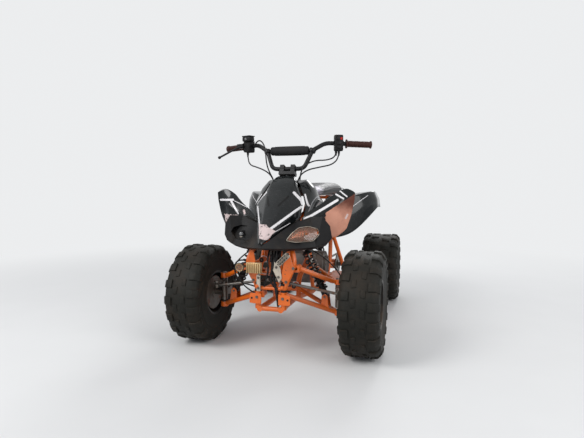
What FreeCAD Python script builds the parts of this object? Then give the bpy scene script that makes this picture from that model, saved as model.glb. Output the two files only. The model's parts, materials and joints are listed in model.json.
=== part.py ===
import FreeCAD, Part
import math
import os
import Sketcher

Vector = FreeCAD.Vector
Rotation = FreeCAD.Rotation
Placement = FreeCAD.Placement

# A sport quad bike, in millimetres. Each sub-part is drawn in the vehicle's own frame, with the front
# axle's line over y = 0 and the ground at z = 0, +X to the rider's left, -Y forward. A shift along Y
# then puts the origin below the middle of the overall length.
# Round pieces are drawn in flats that stand at their radius, and bends are mitred, so that the whole
# vehicle stays light. What turns in a bearing, and the bearing itself, is a true cylinder.

SIZES = [
    ("wheelbase", 1110, "front axle to rear axle"),
    ("front_track", 820, "between the middles of the front tyres"),
    ("rear_track", 760, "between the middles of the rear tyres"),
    ("front_tyre_diameter", 483, "over the lugs"),
    ("front_tyre_width", 180, "over the side walls"),
    ("rear_tyre_diameter", 457.2, "over the lugs"),
    ("rear_tyre_width", 241, "over the side walls"),
    ("rim_diameter", 203.2, "bead seats of all rims"),
    ("front_rim_width", 150, "over the flanges"),
    ("rear_rim_width", 200, "over the flanges"),
    ("rim_wall", 3, "sheet of the rims"),
    ("lug_height", 11, "tread lugs above the carcass"),
    ("lug_length", 30, "tread lugs along the tread"),
    ("nose_reach", 260, "nose tip ahead of the front axle"),
    ("frame_tube", 26, "outer diameter of the main tubes"),
    ("arm_tube", 22, "outer diameter of the arm tubes"),
    ("bend_radius", 45, "middle line of the frame's bends"),
    ("rail_height", 213, "middle of the lower rails above the ground"),
    ("rail_front_half", 50, "half the rails' spacing in front"),
    ("rail_rear_half", 92, "half the rails' spacing under the engine"),
    ("hoop_half", 62, "half the front hoops' spacing at their feet"),
    ("hoop_reach", 122, "front and rear hoops from the front axle"),
    ("arm_pivot_reach", 92, "arm bushes from the front axle"),
    ("upper_pivot_half", 120, "upper arm pivots from the middle"),
    ("upper_pivot_height", 403, "upper arm pivots above the ground"),
    ("lower_pivot_half", 50, "lower arm pivots from the middle"),
    ("lower_pivot_height", 279, "lower arm pivots above the ground"),
    ("kingpin_inset", 120, "kingpins inboard of the front tyres' middles"),
    ("kingpin_low", 187, "lower ball joint above the ground"),
    ("kingpin_high", 332, "upper ball joint above the ground"),
    ("joint_clearance", 0.3, "gap round pins that turn, and round seated pieces"),
    ("spindle_diameter", 24, "front wheel spindle"),
    ("axle_diameter", 30, "rear axle"),
    ("stem_foot_y", -42, "steering stem's lower bearing behind the front axle"),
    ("stem_foot_z", 345, "steering stem's lower bearing above the ground"),
    ("stem_lean", 19.5, "degrees that the stem leans back"),
    ("stem_length", 541, "lower bearing to the bar clamp"),
    ("stem_tube", 24, "outer diameter of the stem"),
    ("bar_tube", 22, "outer diameter of the handlebar"),
    ("bar_half", 395, "handlebar's tips from the middle"),
    ("grip_diameter", 33, "outer diameter of the grips"),
    ("cable_diameter", 7, "control cables and brake hoses"),
    ("shell_wall", 4, "thickness of the plastic body panels"),
    ("lug_bolt", 10, "bolt holes of the front bumper's lugs"),
]

os.makedirs("parts", exist_ok=True)
doc = FreeCAD.newDocument("quad_bike")
sheet = doc.addObject("Spreadsheet::Sheet", "sizes")
for row, (alias, number, meaning) in enumerate(SIZES, start=1):
    sheet.set(f"A{row}", alias)
    sheet.set(f"B{row}", str(number))
    sheet.set(f"C{row}", meaning)
    sheet.setAlias(f"B{row}", alias)
doc.recompute()


class Length:
    """A size of the sheet, or one worked out from such sizes: its number and its formula."""

    def __init__(self, number, formula):
        self.number = float(number)
        self.formula = formula

    def __add__(self, other):
        other = length(other)
        return Length(self.number + other.number, f"({self.formula} + {other.formula})")

    def __sub__(self, other):
        other = length(other)
        return Length(self.number - other.number, f"({self.formula} - {other.formula})")

    def __truediv__(self, divisor):
        return Length(self.number / divisor, f"({self.formula} / {divisor})")

    def __neg__(self):
        return Length(-self.number, f"(0 - {self.formula})")

    def __float__(self):
        return self.number


def length(value):
    return value if isinstance(value, Length) else Length(value, str(value))


def size(alias):
    return Length(sheet.get(alias), f"sizes.{alias}")


def number(alias):
    return float(size(alias))


wheelbase = number("wheelbase")
front_tyre_radius = number("front_tyre_diameter") / 2
rear_tyre_radius = number("rear_tyre_diameter") / 2
front_wheel_x = number("front_track") / 2
rear_wheel_x = number("rear_track") / 2
front_axle_y = (size("nose_reach") - size("wheelbase") - size("rear_tyre_diameter") / 2) / 2
tube_radius = number("frame_tube") / 2
arm_radius = number("arm_tube") / 2
bend = number("bend_radius")
gap = number("joint_clearance")
rail_z = number("rail_height")
rail_front = number("rail_front_half")
rail_rear = number("rail_rear_half")
hoop_x = number("hoop_half")
hoop_y = number("hoop_reach")
pivot_y = number("arm_pivot_reach")
upper_x = number("upper_pivot_half")
upper_z = number("upper_pivot_height")
lower_x = number("lower_pivot_half")
lower_z = number("lower_pivot_height")
kingpin_x = front_wheel_x - number("kingpin_inset")
kingpin_low = number("kingpin_low")
kingpin_high = number("kingpin_high")
spindle_radius = number("spindle_diameter") / 2
axle_radius = number("axle_diameter") / 2
rim_radius = number("rim_diameter") / 2
bar_radius = number("bar_tube") / 2
cable_radius = number("cable_diameter") / 2
wall = number("shell_wall")

LEFT, RIGHT = 1, -1
SIDES = (("left", LEFT), ("right", RIGHT))
TUBE_FLATS = 8
WHEEL_FLATS = 16
nodes = {}


def place(node):
    node.setExpression("Placement.Base.y", front_axle_y.formula)
    nodes[node.Label] = node
    return node


def node_from_shape(name, shape):
    feature = doc.addObject("Part::Feature", name)
    feature.Label = name
    feature.Shape = shape.removeSplitter()
    return place(feature)


def fused(shapes):
    return shapes[0].multiFuse(shapes[1:]) if len(shapes) > 1 else shapes[0]


def mirrored(shape):
    return shape.mirror(Vector(0, 0, 0), Vector(1, 0, 0))


def both(shape):
    return [shape, mirrored(shape)]


def largest(shape):
    return max(shape.Solids, key=lambda solid: solid.Volume)


# Solids of plane faces.

def polygon(corners):
    return Part.Face(Part.makePolygon(corners + corners[:1]))


def is_flat(corners):
    normal = (corners[1] - corners[0]).cross(corners[2] - corners[0])
    if normal.Length < 1e-6:
        return False
    normal.normalize()
    return all(abs(normal.dot(corner - corners[0])) < 1e-5 for corner in corners)


def plane_faces(corners):
    """One plane face, or a fan of triangles where the corners aren't in one plane."""
    if len(corners) > 3 and not is_flat(corners):
        return [polygon([corners[0], near, far]) for near, far in zip(corners[1:], corners[2:])]
    return [polygon(corners)]


def solid_of(faces):
    solid = Part.makeSolid(Part.makeShell(faces))
    return solid if solid.Volume > 0 else solid.reversed()


def strip_faces(near, far, closed):
    """The faces between two rows of corners."""
    faces = []
    for index in range(len(near) if closed else len(near) - 1):
        after = (index + 1) % len(near)
        faces += plane_faces([near[index], near[after], far[after], far[index]])
    return faces


def skinned(rings):
    """A solid through closed rings of corners, closed by its first and last ring."""
    faces = plane_faces(rings[0]) + plane_faces(rings[-1])
    for near, far in zip(rings, rings[1:]):
        faces += strip_faces(near, far, True)
    return solid_of(faces)


def basis(direction):
    """Two axes across a direction, alike for all pieces that run along it."""
    along = Vector(direction).normalize()
    upright = Vector(0, 0, 1) if abs(along.z) < 0.9 else Vector(0, 1, 0)
    across = along.cross(upright).normalize()
    return across, along.cross(across)


def flat_ring(centre, direction, radius, flats):
    across, up = basis(direction)
    corner = radius / math.cos(math.pi / flats)
    angles = [(index + 0.5) * 2 * math.pi / flats for index in range(flats)]
    return [centre + (across * math.cos(angle) + up * math.sin(angle)) * corner for angle in angles]


def rod(start, end, radius, flats=TUBE_FLATS):
    return polygon(flat_ring(start, end - start, radius, flats)).extrude(end - start)


def shaft(start, end, radius):
    return Part.makeCylinder(radius, (end - start).Length, start, end - start)


def mitres(points, radius):
    """The corners of a path whose bends are eased by short straight runs round an arc of the radius."""
    corners = [points[0]]
    for before, corner, after in zip(points, points[1:], points[2:]):
        into = (corner - before).normalize()
        out = (after - corner).normalize()
        turn = into.getAngle(out)
        steps = math.ceil(turn / 0.7)
        toward_centre = (out - into).normalize()
        centre = corner + toward_centre * (radius / math.cos(turn / 2))
        for step in range(steps):
            swing = (step + 0.5) * turn / steps - turn / 2
            side = into + out
            side.normalize()
            spoke = side * math.sin(swing) - toward_centre * math.cos(swing)
            corners.append(centre + spoke * (radius / math.cos(turn / steps / 2)))
    corners.append(points[-1])
    return corners


def carried(path, radius, flats):
    """A bent tube: its ring is carried along each run on to the plane of the next mitre."""
    ring = flat_ring(path[0], path[1] - path[0], radius, flats)
    rings = [ring]
    for index in range(1, len(path)):
        along = (path[index] - path[index - 1]).normalize()
        mitre = Vector(along)
        if index < len(path) - 1:
            mitre = along + (path[index + 1] - path[index]).normalize()
        ring = [spot + along * ((path[index] - spot).dot(mitre) / along.dot(mitre)) for spot in ring]
        rings.append(ring)
    return skinned(rings)


def tube(points, radius, bend_radius, flats=TUBE_FLATS):
    return carried(mitres(points, bend_radius), radius, flats)


def turned(profile, foot, direction, flats, hollow=False):
    """A piece turned in flats about an axis, from pairs of distance along it and radius."""
    along = Vector(direction).normalize()
    rings = [flat_ring(foot + along * reach, along, radius, flats) for reach, radius in profile]
    if not hollow:
        return skinned(rings)
    faces = []
    for near, far in zip(rings, rings[1:] + rings[:1]):
        faces += strip_faces(near, far, True)
    return solid_of(faces)


def block(x0, x1, y0, y1, z0, z1):
    low = Vector(min(x0, x1), min(y0, y1), min(z0, z1))
    high = Vector(max(x0, x1), max(y0, y1), max(z0, z1))
    extent = high - low
    return Part.makeBox(extent.x, extent.y, extent.z, low)


def corner_normals(rows):
    """The middle direction of the faces round each corner of a grid, and how much a wall grows there."""
    around = [[[] for _ in row] for row in rows]
    for i in range(len(rows) - 1):
        for j in range(len(rows[0]) - 1):
            across = rows[i + 1][j + 1] - rows[i][j]
            normal = across.cross(rows[i][j + 1] - rows[i + 1][j]).normalize()
            for a, b in ((i, j), (i + 1, j), (i, j + 1), (i + 1, j + 1)):
                around[a][b].append(normal)
    result = []
    for i, row in enumerate(rows):
        line = []
        for j, spot in enumerate(row):
            normal = sum(around[i][j][1:], Vector(around[i][j][0]))
            if abs(spot.x) < 1e-6:
                normal.x = 0
            normal.normalize()
            lean = sum(normal.dot(face) for face in around[i][j]) / len(around[i][j])
            line.append(normal / max(lean, 0.5))
        result.append(line)
    return result


def panel(rows, thickness, inner_spot):
    """A moulded panel: rows of corners on its outer side, with its wall towards the inner spot."""
    normals = corner_normals(rows)
    i, j = len(rows) // 2, len(rows[0]) // 2
    turn = -1 if normals[i][j].dot(inner_spot - rows[i][j]) < 0 else 1
    inner = [[spot + normal * (turn * thickness) for spot, normal in zip(row, line)]
             for row, line in zip(rows, normals)]
    faces = []
    for near, far in zip(rows, rows[1:]):
        faces += strip_faces(near, far, False)
    for near, far in zip(inner, inner[1:]):
        faces += strip_faces(near, far, False)
    edge = rows[0] + [row[-1] for row in rows[1:]] + rows[-1][-2::-1] + [row[0] for row in rows[-2:0:-1]]
    inner_edge = (inner[0] + [row[-1] for row in inner[1:]] + inner[-1][-2::-1]
                  + [row[0] for row in inner[-2:0:-1]])
    faces += strip_faces(edge, inner_edge, True)
    return solid_of(faces)


def grid(table, side=LEFT):
    """Rows of corners from rows of (x, y, z), on one side of the vehicle."""
    return [[Vector(side * x, y, z) for x, y, z in row] for row in table]


def behind(table):
    """Rows given from the rear axle, moved to the vehicle's frame."""
    return [[(x, y + wheelbase, z) for x, y, z in row] for row in table]


# Sketched bodies: closed outlines of straight edges, padded and patterned.

def plane(body, role):
    return next(part for part in body.Origin.OriginFeatures if part.Role == role)


def new_body(name):
    body = doc.addObject("PartDesign::Body", name)
    body.Label = name
    return body


def outline(body, name, role, corners, offset=0):
    """A closed outline of straight edges on one of the body's planes, each corner tied to its sizes."""
    sketch = body.newObject("Sketcher::SketchObject", name)
    sketch.AttachmentSupport = [(plane(body, role), "")]
    sketch.MapMode = "FlatFace"
    sketch.setExpression(".AttachmentOffset.Base.z", length(offset).formula)
    pairs = [(length(a), length(b)) for a, b in corners]
    count = len(pairs)
    for index in range(count):
        a, b = pairs[index], pairs[(index + 1) % count]
        start, end = Vector(a[0].number, a[1].number), Vector(b[0].number, b[1].number)
        sketch.addGeometry(Part.LineSegment(start, end), False)
    for index in range(count):
        sketch.addConstraint(Sketcher.Constraint("Coincident", index, 2, (index + 1) % count, 1))
    for index, (across, along) in enumerate(pairs):
        for kind, value in (("DistanceX", across), ("DistanceY", along)):
            held = sketch.addConstraint(Sketcher.Constraint(kind, -1, 1, index, 1, value.number))
            sketch.setExpression(f"Constraints[{held}]", value.formula)
    return sketch


def pad(body, name, sketch, depth, middle=False, kind="Pad"):
    feature = body.newObject(f"PartDesign::{kind}", name)
    feature.Profile = sketch
    feature.setExpression("Length", length(depth).formula)
    feature.Midplane = middle
    return feature


def repeated(body, name, feature, axis_role, span, count):
    pattern = body.newObject("PartDesign::LinearPattern", name)
    pattern.Originals = [feature]
    pattern.Direction = (plane(body, axis_role), [""])
    pattern.setExpression("Length", length(span).formula)
    pattern.Occurrences = count
    body.Tip = pattern
    return pattern


def finish_body(body):
    doc.recompute()
    return place(body)


def ring_corners(across, along, radius, flats):
    """Corners of a regular outline, as pairs for a sketch."""
    corner = radius / math.cos(math.pi / flats)
    angles = [(index + 0.5) * 2 * math.pi / flats for index in range(flats)]
    return [(across + corner * math.cos(angle), along + corner * math.sin(angle)) for angle in angles]


# The frame's tubes: two lower rails that carry the front hoops, the engine and the swingarm's pivot.

swing_y = 690
swing_z = 280
rear_post_y = 735
engine_rail_start = 260
engine_rail_end = 640
upright_top_z = 560
engine_low_z = 238
pin_radius = 5
arm_pin_radius = 6
pivot_radius = 8
PIN_FLATS = 6


def cross_tube(half, y, z, radius=tube_radius):
    return rod(Vector(-half, y, z), Vector(half, y, z), radius)


def make_cradle():
    rail = tube([
        Vector(rail_front, -hoop_y - tube_radius, rail_z),
        Vector(rail_front, hoop_y, rail_z),
        Vector(rail_rear, engine_rail_start, rail_z),
        Vector(rail_rear, engine_rail_end, rail_z),
        Vector(rail_rear, rear_post_y, swing_z + 55),
        Vector(rail_rear, rear_post_y + 30, upright_top_z),
    ], tube_radius, bend)
    crosses = [
        cross_tube(rail_front, -hoop_y, rail_z),
        cross_tube(rail_front, hoop_y - 30, rail_z),
        cross_tube(rail_rear, engine_rail_start + 40, rail_z),
        cross_tube(rail_rear, engine_rail_end - 30, rail_z),
        cross_tube(rail_rear, swing_y, swing_z, pivot_radius),
    ]
    tabs = [block(side * (rail_rear - 12), side * (rail_rear - 6), y, y + 24, rail_z, engine_low_z)
            for side in (LEFT, RIGHT) for y in (400, 520)]
    return fused(both(rail) + crosses + tabs)


# The steering stem's axis, which the frame's two bearings share.

stem_foot = Vector(0, number("stem_foot_y"), number("stem_foot_z"))
stem_turn = Rotation(Vector(1, 0, 0), -number("stem_lean"))
stem_end = number("stem_length")
stem_radius = number("stem_tube") / 2
pitman_ball = (20, -56)


def on_stem(x, y, z):
    """A point given across, behind and along the stem, from its lower bearing."""
    return stem_foot + stem_turn.multVec(Vector(x, y, z))


def stem_plate(corners, low, high):
    """A plate square to the stem, from an outline given across and behind it."""
    return polygon([on_stem(x, y, low) for x, y in corners]).extrude(on_stem(0, 0, high) - on_stem(0, 0, low))


hoop_knee = 310
hoop_wide = 112
tower_top_x = 92
tower_top_z = 492
tower_top_y = hoop_y - 22
shock_top_x = 128
shock_top_z = 486
shock_eye_half = 23
ear_thickness = 5
bumper_lug_thickness = 6
bumper_lug_z = 263
bumper_bolt_x = hoop_x + tube_radius + 11


def make_hoop(end):
    """A front or rear hoop with the arms' pivot pins and the plates that hold them."""
    plane_y = end * hoop_y
    side = tube([
        Vector(hoop_x, plane_y, rail_z),
        Vector(hoop_x, plane_y, hoop_knee),
        Vector(hoop_wide, plane_y, upper_z + 22),
        Vector(tower_top_x, end * tower_top_y, tower_top_z),
    ], tube_radius, bend)
    pieces = [side, rod(Vector(0, end * tower_top_y, tower_top_z),
                        Vector(tower_top_x, end * tower_top_y, tower_top_z), tube_radius)]
    for pivot_x, pivot_z in ((upper_x, upper_z), (lower_x, lower_z)):
        pieces.append(rod(Vector(pivot_x, plane_y, pivot_z), Vector(pivot_x, end * (pivot_y - 18), pivot_z),
                          arm_pin_radius, PIN_FLATS))
        pieces.append(block(pivot_x - 15, pivot_x + 15, end * (pivot_y + 14), plane_y,
                            pivot_z - 16, pivot_z + 16))
    if end < 0:
        face_y = plane_y - tube_radius
        lug = block(hoop_x - 21, bumper_bolt_x + 11, face_y - bumper_lug_thickness, face_y,
                    bumper_lug_z - 26, bumper_lug_z + 22)
        bolt = Vector(bumper_bolt_x, face_y, bumper_lug_z)
        reach = Vector(0, 2 * bumper_lug_thickness, 0)
        pieces.append(lug.cut(shaft(bolt - reach, bolt + reach, number("lug_bolt") / 2)))
        outline_xz = [(53, 353), (79, 332), (122, 411), (110, 420), (92, 486), (76, 478)]
        gusset = polygon([Vector(x, face_y - 5, z) for x, z in outline_xz])
        pieces.append(gusset.extrude(Vector(0, 5, 0)))
        pieces.append(block(0, hoop_x, plane_y - 6, plane_y + 6, hoop_knee - 10, hoop_knee + 8))
        pieces.append(rod(Vector(60, face_y - 14, hoop_knee + 8), Vector(60, face_y, hoop_knee + 8), 9))
    half = fused(pieces)
    return half.fuse(mirrored(half))


def make_tower_rails():
    """The tower's top rails with the shocks' upper ears, and the plate of the stem's lower bearing."""
    pieces = []
    for side in (LEFT, RIGHT):
        top = side * tower_top_x
        pieces.append(rod(Vector(top, -tower_top_y, tower_top_z), Vector(top, tower_top_y, tower_top_z),
                          tube_radius))
        for ear_y in (-shock_eye_half, shock_eye_half - ear_thickness):
            pieces.append(block(top, side * (shock_top_x + 12), ear_y, ear_y + ear_thickness,
                                shock_top_z - 14, shock_top_z + 12))
        pieces.append(rod(Vector(side * shock_top_x, -shock_eye_half, shock_top_z),
                          Vector(side * shock_top_x, shock_eye_half, shock_top_z), pin_radius))
    return fused(pieces)


def make_stem_bearing():
    pieces = [stem_plate([(-22, 20), (22, 20), (96, -84), (-96, -84)], 5, 11),
              rod(on_stem(0, 0, 0), on_stem(0, 0, 34), 20)]
    return fused(pieces).cut(shaft(on_stem(0, 0, -10), on_stem(0, 0, 60), stem_radius + gap))


# The pale slotted plates and the bracket in front of the tower's top.

def make_front_plates():
    pieces = []
    face_y = -hoop_y - tube_radius - 5
    low, high = Vector(36, face_y, 428), Vector(83, face_y, 473)
    along = (high - low).normalize()
    across = Vector(along.z, 0, -along.x)
    for shift in (-13, 13):
        near, far = low + across * shift, high + across * shift
        bar = polygon([near - across * 7, far - across * 7, far + across * 7, near + across * 7])
        slot = polygon([near + along * 12 - across * 2.5, far - along * 12 - across * 2.5,
                        far - along * 12 + across * 2.5, near + along * 12 + across * 2.5])
        pieces.append(bar.cut(slot).extrude(Vector(0, -4, 0)))
    cheek = [(24, 436), (52, 408), (60, 362), (46, 340), (30, 372), (14, 404)]
    pieces.append(polygon([Vector(x, face_y, z) for x, z in cheek]).extrude(Vector(0, -5, 0)))
    pieces.append(block(-62, -44, -hoop_y - tube_radius - 8, -hoop_y - tube_radius, 296, 372))
    return fused(pieces)


backbone_front_z = 600
seat_rail_top = 718.5
cover_rest_z = 631.7
rear_shock_low = Vector(0, wheelbase - 230, 291)
rear_shock_high = Vector(0, swing_y + 62, 556)
rail_x = 84
rail_end_y = rear_shock_high.y - 7
rail_end_z = 590


def make_backbone():
    rail = tube([
        Vector(74, 84, tower_top_z + 10),
        Vector(62, 96, backbone_front_z),
        Vector(72, 200, 640),
        Vector(rail_x, 420, 606),
        Vector(rail_x, rail_end_y, rail_end_z),
    ], tube_radius, 30)
    down = tube([Vector(72, 215, 634), Vector(rail_rear, 300, rail_z)], tube_radius, bend)
    bush = rod(on_stem(0, 0, 268), on_stem(0, 0, 318), 21)
    bracket = [block(-62, 62, 52, 60, 596, 640), block(-62, 62, 60, 96, 596, 604)]
    tabs = [block(side * 70, side * 122, 292, 308, cover_rest_z - 8, cover_rest_z) for side in (LEFT, RIGHT)]
    ears = [block(side * (shock_eye_half - ear_thickness), side * shock_eye_half, rear_shock_high.y - 14,
                  rear_shock_high.y + 14, rear_shock_high.z - 12, rail_end_z) for side in (LEFT, RIGHT)]
    eye = Vector(shock_eye_half, 0, 0)
    pin = rod(rear_shock_high - eye, rear_shock_high + eye, pin_radius)
    crosses = [cross_tube(rail_x, 430, 606), cross_tube(rail_x, rail_end_y - 5, rail_end_z)]
    shape = fused(both(rail) + both(down) + crosses + [pin, bush] + bracket + tabs + ears)
    return shape.cut(shaft(on_stem(0, 0, 200), on_stem(0, 0, 400), stem_radius + gap))


def make_subframe():
    level = seat_rail_top - 11
    rail = tube([Vector(rail_x, rail_end_y, 600), Vector(rail_x, rail_end_y + 105, level),
                 Vector(rail_x, wheelbase + 110, level)], 11, bend)
    stay = tube([Vector(rail_x, rail_end_y + 16, 500), Vector(rail_x, wheelbase - 50, level - 6)], 9, bend)
    return fused(both(rail) + both(stay) + [cross_tube(rail_x, wheelbase - 150, level, 11),
                                            cross_tube(rail_x, wheelbase + 104, level, 11)])


cradle = make_cradle()
front_hoop = make_hoop(-1).cut(cradle)
rear_hoop = make_hoop(1).cut(cradle)
tower_rails = make_tower_rails().cut(front_hoop).cut(rear_hoop)
stem_bearing = make_stem_bearing().cut(front_hoop)
backbone = largest(make_backbone().cut(cradle).cut(rear_hoop).cut(tower_rails))
subframe = make_subframe().cut(cradle).cut(backbone)
node_from_shape("frame_cradle", cradle)
node_from_shape("front_tower", front_hoop)
node_from_shape("tower_rear_hoop", rear_hoop)
node_from_shape("tower_rails", tower_rails)
node_from_shape("stem_bearing", stem_bearing)
node_from_shape("front_plates", make_front_plates().cut(front_hoop))
node_from_shape("frame_backbone", backbone)
node_from_shape("rear_subframe", subframe)


# The arms: an upper and a lower one on each side, with a ring at the outer end for the ball joint.

ring_radius = 16
ring_half = 10
stud_radius = 7
shock_low_x = kingpin_x - 62
shock_low_z = 262
arm_deck_z = 210


def make_arm(inner_x, inner_z, outer_z, side, radius):
    outer = Vector(side * kingpin_x, 0, outer_z)
    upright = Vector(0, 0, ring_half)
    pieces = [rod(outer - upright, outer + upright, ring_radius, 10)]
    bores = [rod(outer - upright * 2, outer + upright * 2, stud_radius + gap, 10)]
    for end in (-1, 1):
        inner = Vector(side * inner_x, end * pivot_y, inner_z)
        half = Vector(0, 11, 0)
        pieces.append(rod(inner, outer, radius))
        pieces.append(rod(inner - half, inner + half, 13))
        bores.append(rod(inner - half * 2, inner + half * 2, arm_pin_radius + gap / 2, PIN_FLATS))
    return fused(pieces).cut(fused(bores))


def make_arms(side):
    upper = make_arm(upper_x, upper_z, kingpin_high, side, arm_radius)
    lower = make_arm(lower_x, lower_z, kingpin_low, side, arm_radius)
    seat = [block(side * (shock_low_x - 16), side * (shock_low_x + 12), -30, 30, arm_deck_z - 6, arm_deck_z)]
    for ear_y in (-shock_eye_half, shock_eye_half - ear_thickness):
        seat.append(block(side * (shock_low_x - 12), side * (shock_low_x + 12), ear_y, ear_y + ear_thickness,
                          arm_deck_z - 3, shock_low_z + 12))
    seat.append(rod(Vector(side * shock_low_x, -shock_eye_half, shock_low_z),
                    Vector(side * shock_low_x, shock_eye_half, shock_low_z), pin_radius))
    bores = [rod(Vector(side * lower_x, end * (pivot_y - 30), lower_z),
                 Vector(side * lower_x, end * (pivot_y + 30), lower_z), arm_pin_radius + gap / 2, PIN_FLATS)
             for end in (-1, 1)]
    lower = fused([lower] + seat).cut(fused(bores))
    return Part.makeCompound([upper.removeSplitter(), lower.removeSplitter()])


for name, side in SIDES:
    node_from_shape(f"arms_{name}", make_arms(side))


# The shocks: eyes at both ends, damper rod, and the coil between its two seats.

def make_shock(low, high, eye_direction, coil_radius, wire, turns):
    reach = (high - low).Length
    seat_low, seat_high = 34, reach - 30
    pitch = (seat_high - seat_low) / turns
    profile = [(7, 9), (26, 9), (28, coil_radius)]
    for turn in range(turns):
        start = seat_low + turn * pitch
        profile += [(start + 0.1 * pitch, coil_radius - wire), (start + 0.6 * pitch, coil_radius)]
    profile += [(seat_high, coil_radius - wire), (seat_high + 5, coil_radius), (seat_high + 7, 12),
                (reach - 7, 12)]
    pieces = [turned(profile, low, high - low, TUBE_FLATS)]
    bores = []
    for eye in (low, high):
        pieces.append(rod(eye - eye_direction * 17, eye + eye_direction * 17, 13))
        bores.append(rod(eye - eye_direction * 30, eye + eye_direction * 30, pin_radius + gap))
    return fused(pieces).cut(fused(bores))


for name, side in SIDES:
    node_from_shape(f"front_shock_{name}", make_shock(
        Vector(side * shock_low_x, 0, shock_low_z), Vector(side * shock_top_x, 0, shock_top_z),
        Vector(0, 1, 0), 26, 8, 6))


# The knuckles: post between the ball joints, spindle, steering arm and brake caliper.

arm_ball = (14, -58)
arm_ball_z = 305
front_hub_x = front_wheel_x - 6
disc_x = front_hub_x - 59
disc_thickness = 3.5
disc_radius = 82


def make_knuckle(side):
    x, z = kingpin_x, front_tyre_radius
    pieces = [
        rod(Vector(side * x, 0, kingpin_low + 24), Vector(side * x, 0, kingpin_high - ring_half - 1.5), 15),
        shaft(Vector(side * x, 0, kingpin_low - ring_half - 4),
              Vector(side * x, 0, kingpin_high + ring_half + 4), stud_radius),
        shaft(Vector(side * x, 0, z), Vector(side * (front_hub_x - 8), 0, z), spindle_radius),
    ]
    ball = Vector(side * (x + arm_ball[0]), arm_ball[1], arm_ball_z)
    pieces.append(rod(ball, ball + Vector(0, 0, 8), 12))
    pieces.append(block(side * (x - 8), side * (x + 8), -48, 0, arm_ball_z, arm_ball_z + 8))
    pieces.append(block(side * x, side * (x + 18), -58, -40, arm_ball_z, arm_ball_z + 8))
    pieces.append(block(side * (x - 2), side * (x + 6), 0, 60, z - 16, z + 16))
    caliper = block(side * (x - 2), side * (disc_x + 27), 56, 88, z - 20, z + 20)
    slot = block(side * (disc_x - 2), side * (disc_x + disc_thickness + 2), 50, disc_radius + 2,
                 z - 30, z + 30)
    pieces.append(caliper.cut(slot))
    return fused(pieces)


for name, side in SIDES:
    node_from_shape(f"knuckle_{name}", make_knuckle(side))


# The wheels: rims with a drop centre, and knobbly tyres.

def make_rim(side, middle_x, width, axle_y, axle_z, wall_x, bore_radius):
    """A turned rim; wall_x is the middle disc's inner face, from the vehicle's middle."""
    sheet_metal = number("rim_wall")
    inner, outer = middle_x - width / 2, middle_x + width / 2
    flange = rim_radius + 10
    drop = rim_radius - 16
    well, ledge = wall_x - 8, wall_x - 24
    profile = [
        (inner, flange), (inner + 3, rim_radius), (ledge, rim_radius - 1), (well, drop), (outer - 44, drop),
        (outer - 3, rim_radius), (outer, flange), (outer, rim_radius - sheet_metal),
        (outer - 42, drop - sheet_metal), (wall_x + 4, drop - sheet_metal), (wall_x + 4, bore_radius),
        (wall_x, bore_radius), (wall_x, drop - sheet_metal), (well - 2, drop - sheet_metal),
        (ledge - 1, rim_radius - 1 - sheet_metal), (inner, rim_radius - sheet_metal),
    ]
    return turned(profile, Vector(0, axle_y, axle_z), Vector(side, 0, 0), WHEEL_FLATS, hollow=True)


def make_tyre(side, middle_x, width, radius, rim_width, axle_y):
    """The carcass and two rows of lugs, one row half a step behind the other."""
    seat = rim_radius + gap
    half = width / 2
    bead = rim_width / 2 - 3 - gap
    lug_height, lug_length = number("lug_height"), number("lug_length")
    carcass = radius - lug_height
    belly = half - 3
    profile = [(bead, seat), (bead, seat + 11), (belly, seat + (carcass - seat) * 0.45),
               (belly, seat + (carcass - seat) * 0.64), (half - 15, carcass - 11), (half - 36, carcass - 1)]
    whole = [(middle_x + across, high) for across, high in profile]
    whole += [(middle_x - across, high) for across, high in reversed(profile)]
    centre = Vector(0, axle_y, radius)
    pieces = [turned(whole, centre, Vector(side, 0, 0), WHEEL_FLATS, hollow=True)]
    lug_outline = [(half - 54, radius), (half - 18, radius - 4), (half, radius - 26), (half - 6, radius - 46),
                   (half - 54, carcass - 8)]
    step = 360 / WHEEL_FLATS
    for outer_row, first in ((1, 180), (-1, 180 + step / 2)):
        corners = [Vector(side * (middle_x + outer_row * across), -lug_length / 2, high)
                   for across, high in lug_outline]
        lug = polygon(corners).extrude(Vector(0, lug_length, 0))
        for count in range(WHEEL_FLATS):
            turn = Rotation(Vector(1, 0, 0), first + count * step)
            copy = lug.copy()
            copy.Placement = Placement(centre, turn)
            pieces.append(copy)
    return fused(pieces)


rear_hub_x = rear_wheel_x - 50
hub_bolt_x = front_hub_x - gap
for name, side in SIDES:
    node_from_shape(f"front_rim_{name}", make_rim(
        side, front_wheel_x, number("front_rim_width"), 0, front_tyre_radius, front_hub_x, 30))
    node_from_shape(f"rear_rim_{name}", make_rim(
        side, rear_wheel_x, number("rear_rim_width"), wheelbase, rear_tyre_radius, rear_hub_x, 24))
    node_from_shape(f"front_tyre_{name}", make_tyre(
        side, front_wheel_x, number("front_tyre_width"), front_tyre_radius, number("front_rim_width"), 0))
    node_from_shape(f"rear_tyre_{name}", make_tyre(
        side, rear_wheel_x, number("rear_tyre_width"), rear_tyre_radius, number("rear_rim_width"), wheelbase))


def make_front_hub(side):
    """Hub with its flange and the brake disc, bored for the spindle."""
    def at(x):
        return Vector(side * x, 0, front_tyre_radius)

    profile = [(disc_x - 5, 26), (front_hub_x - 8, 26), (front_hub_x - 8, 66), (hub_bolt_x, 66),
               (hub_bolt_x, 22), (front_hub_x + 21, 22)]
    pieces = [turned(profile, Vector(0, 0, front_tyre_radius), Vector(side, 0, 0), 10),
              rod(at(disc_x), at(disc_x + disc_thickness), disc_radius, WHEEL_FLATS)]
    bore = shaft(at(disc_x - 15), at(front_hub_x - 6), spindle_radius + gap)
    return fused(pieces).cut(bore)


for name, side in SIDES:
    node_from_shape(f"front_hub_{name}", make_front_hub(side))


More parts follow.
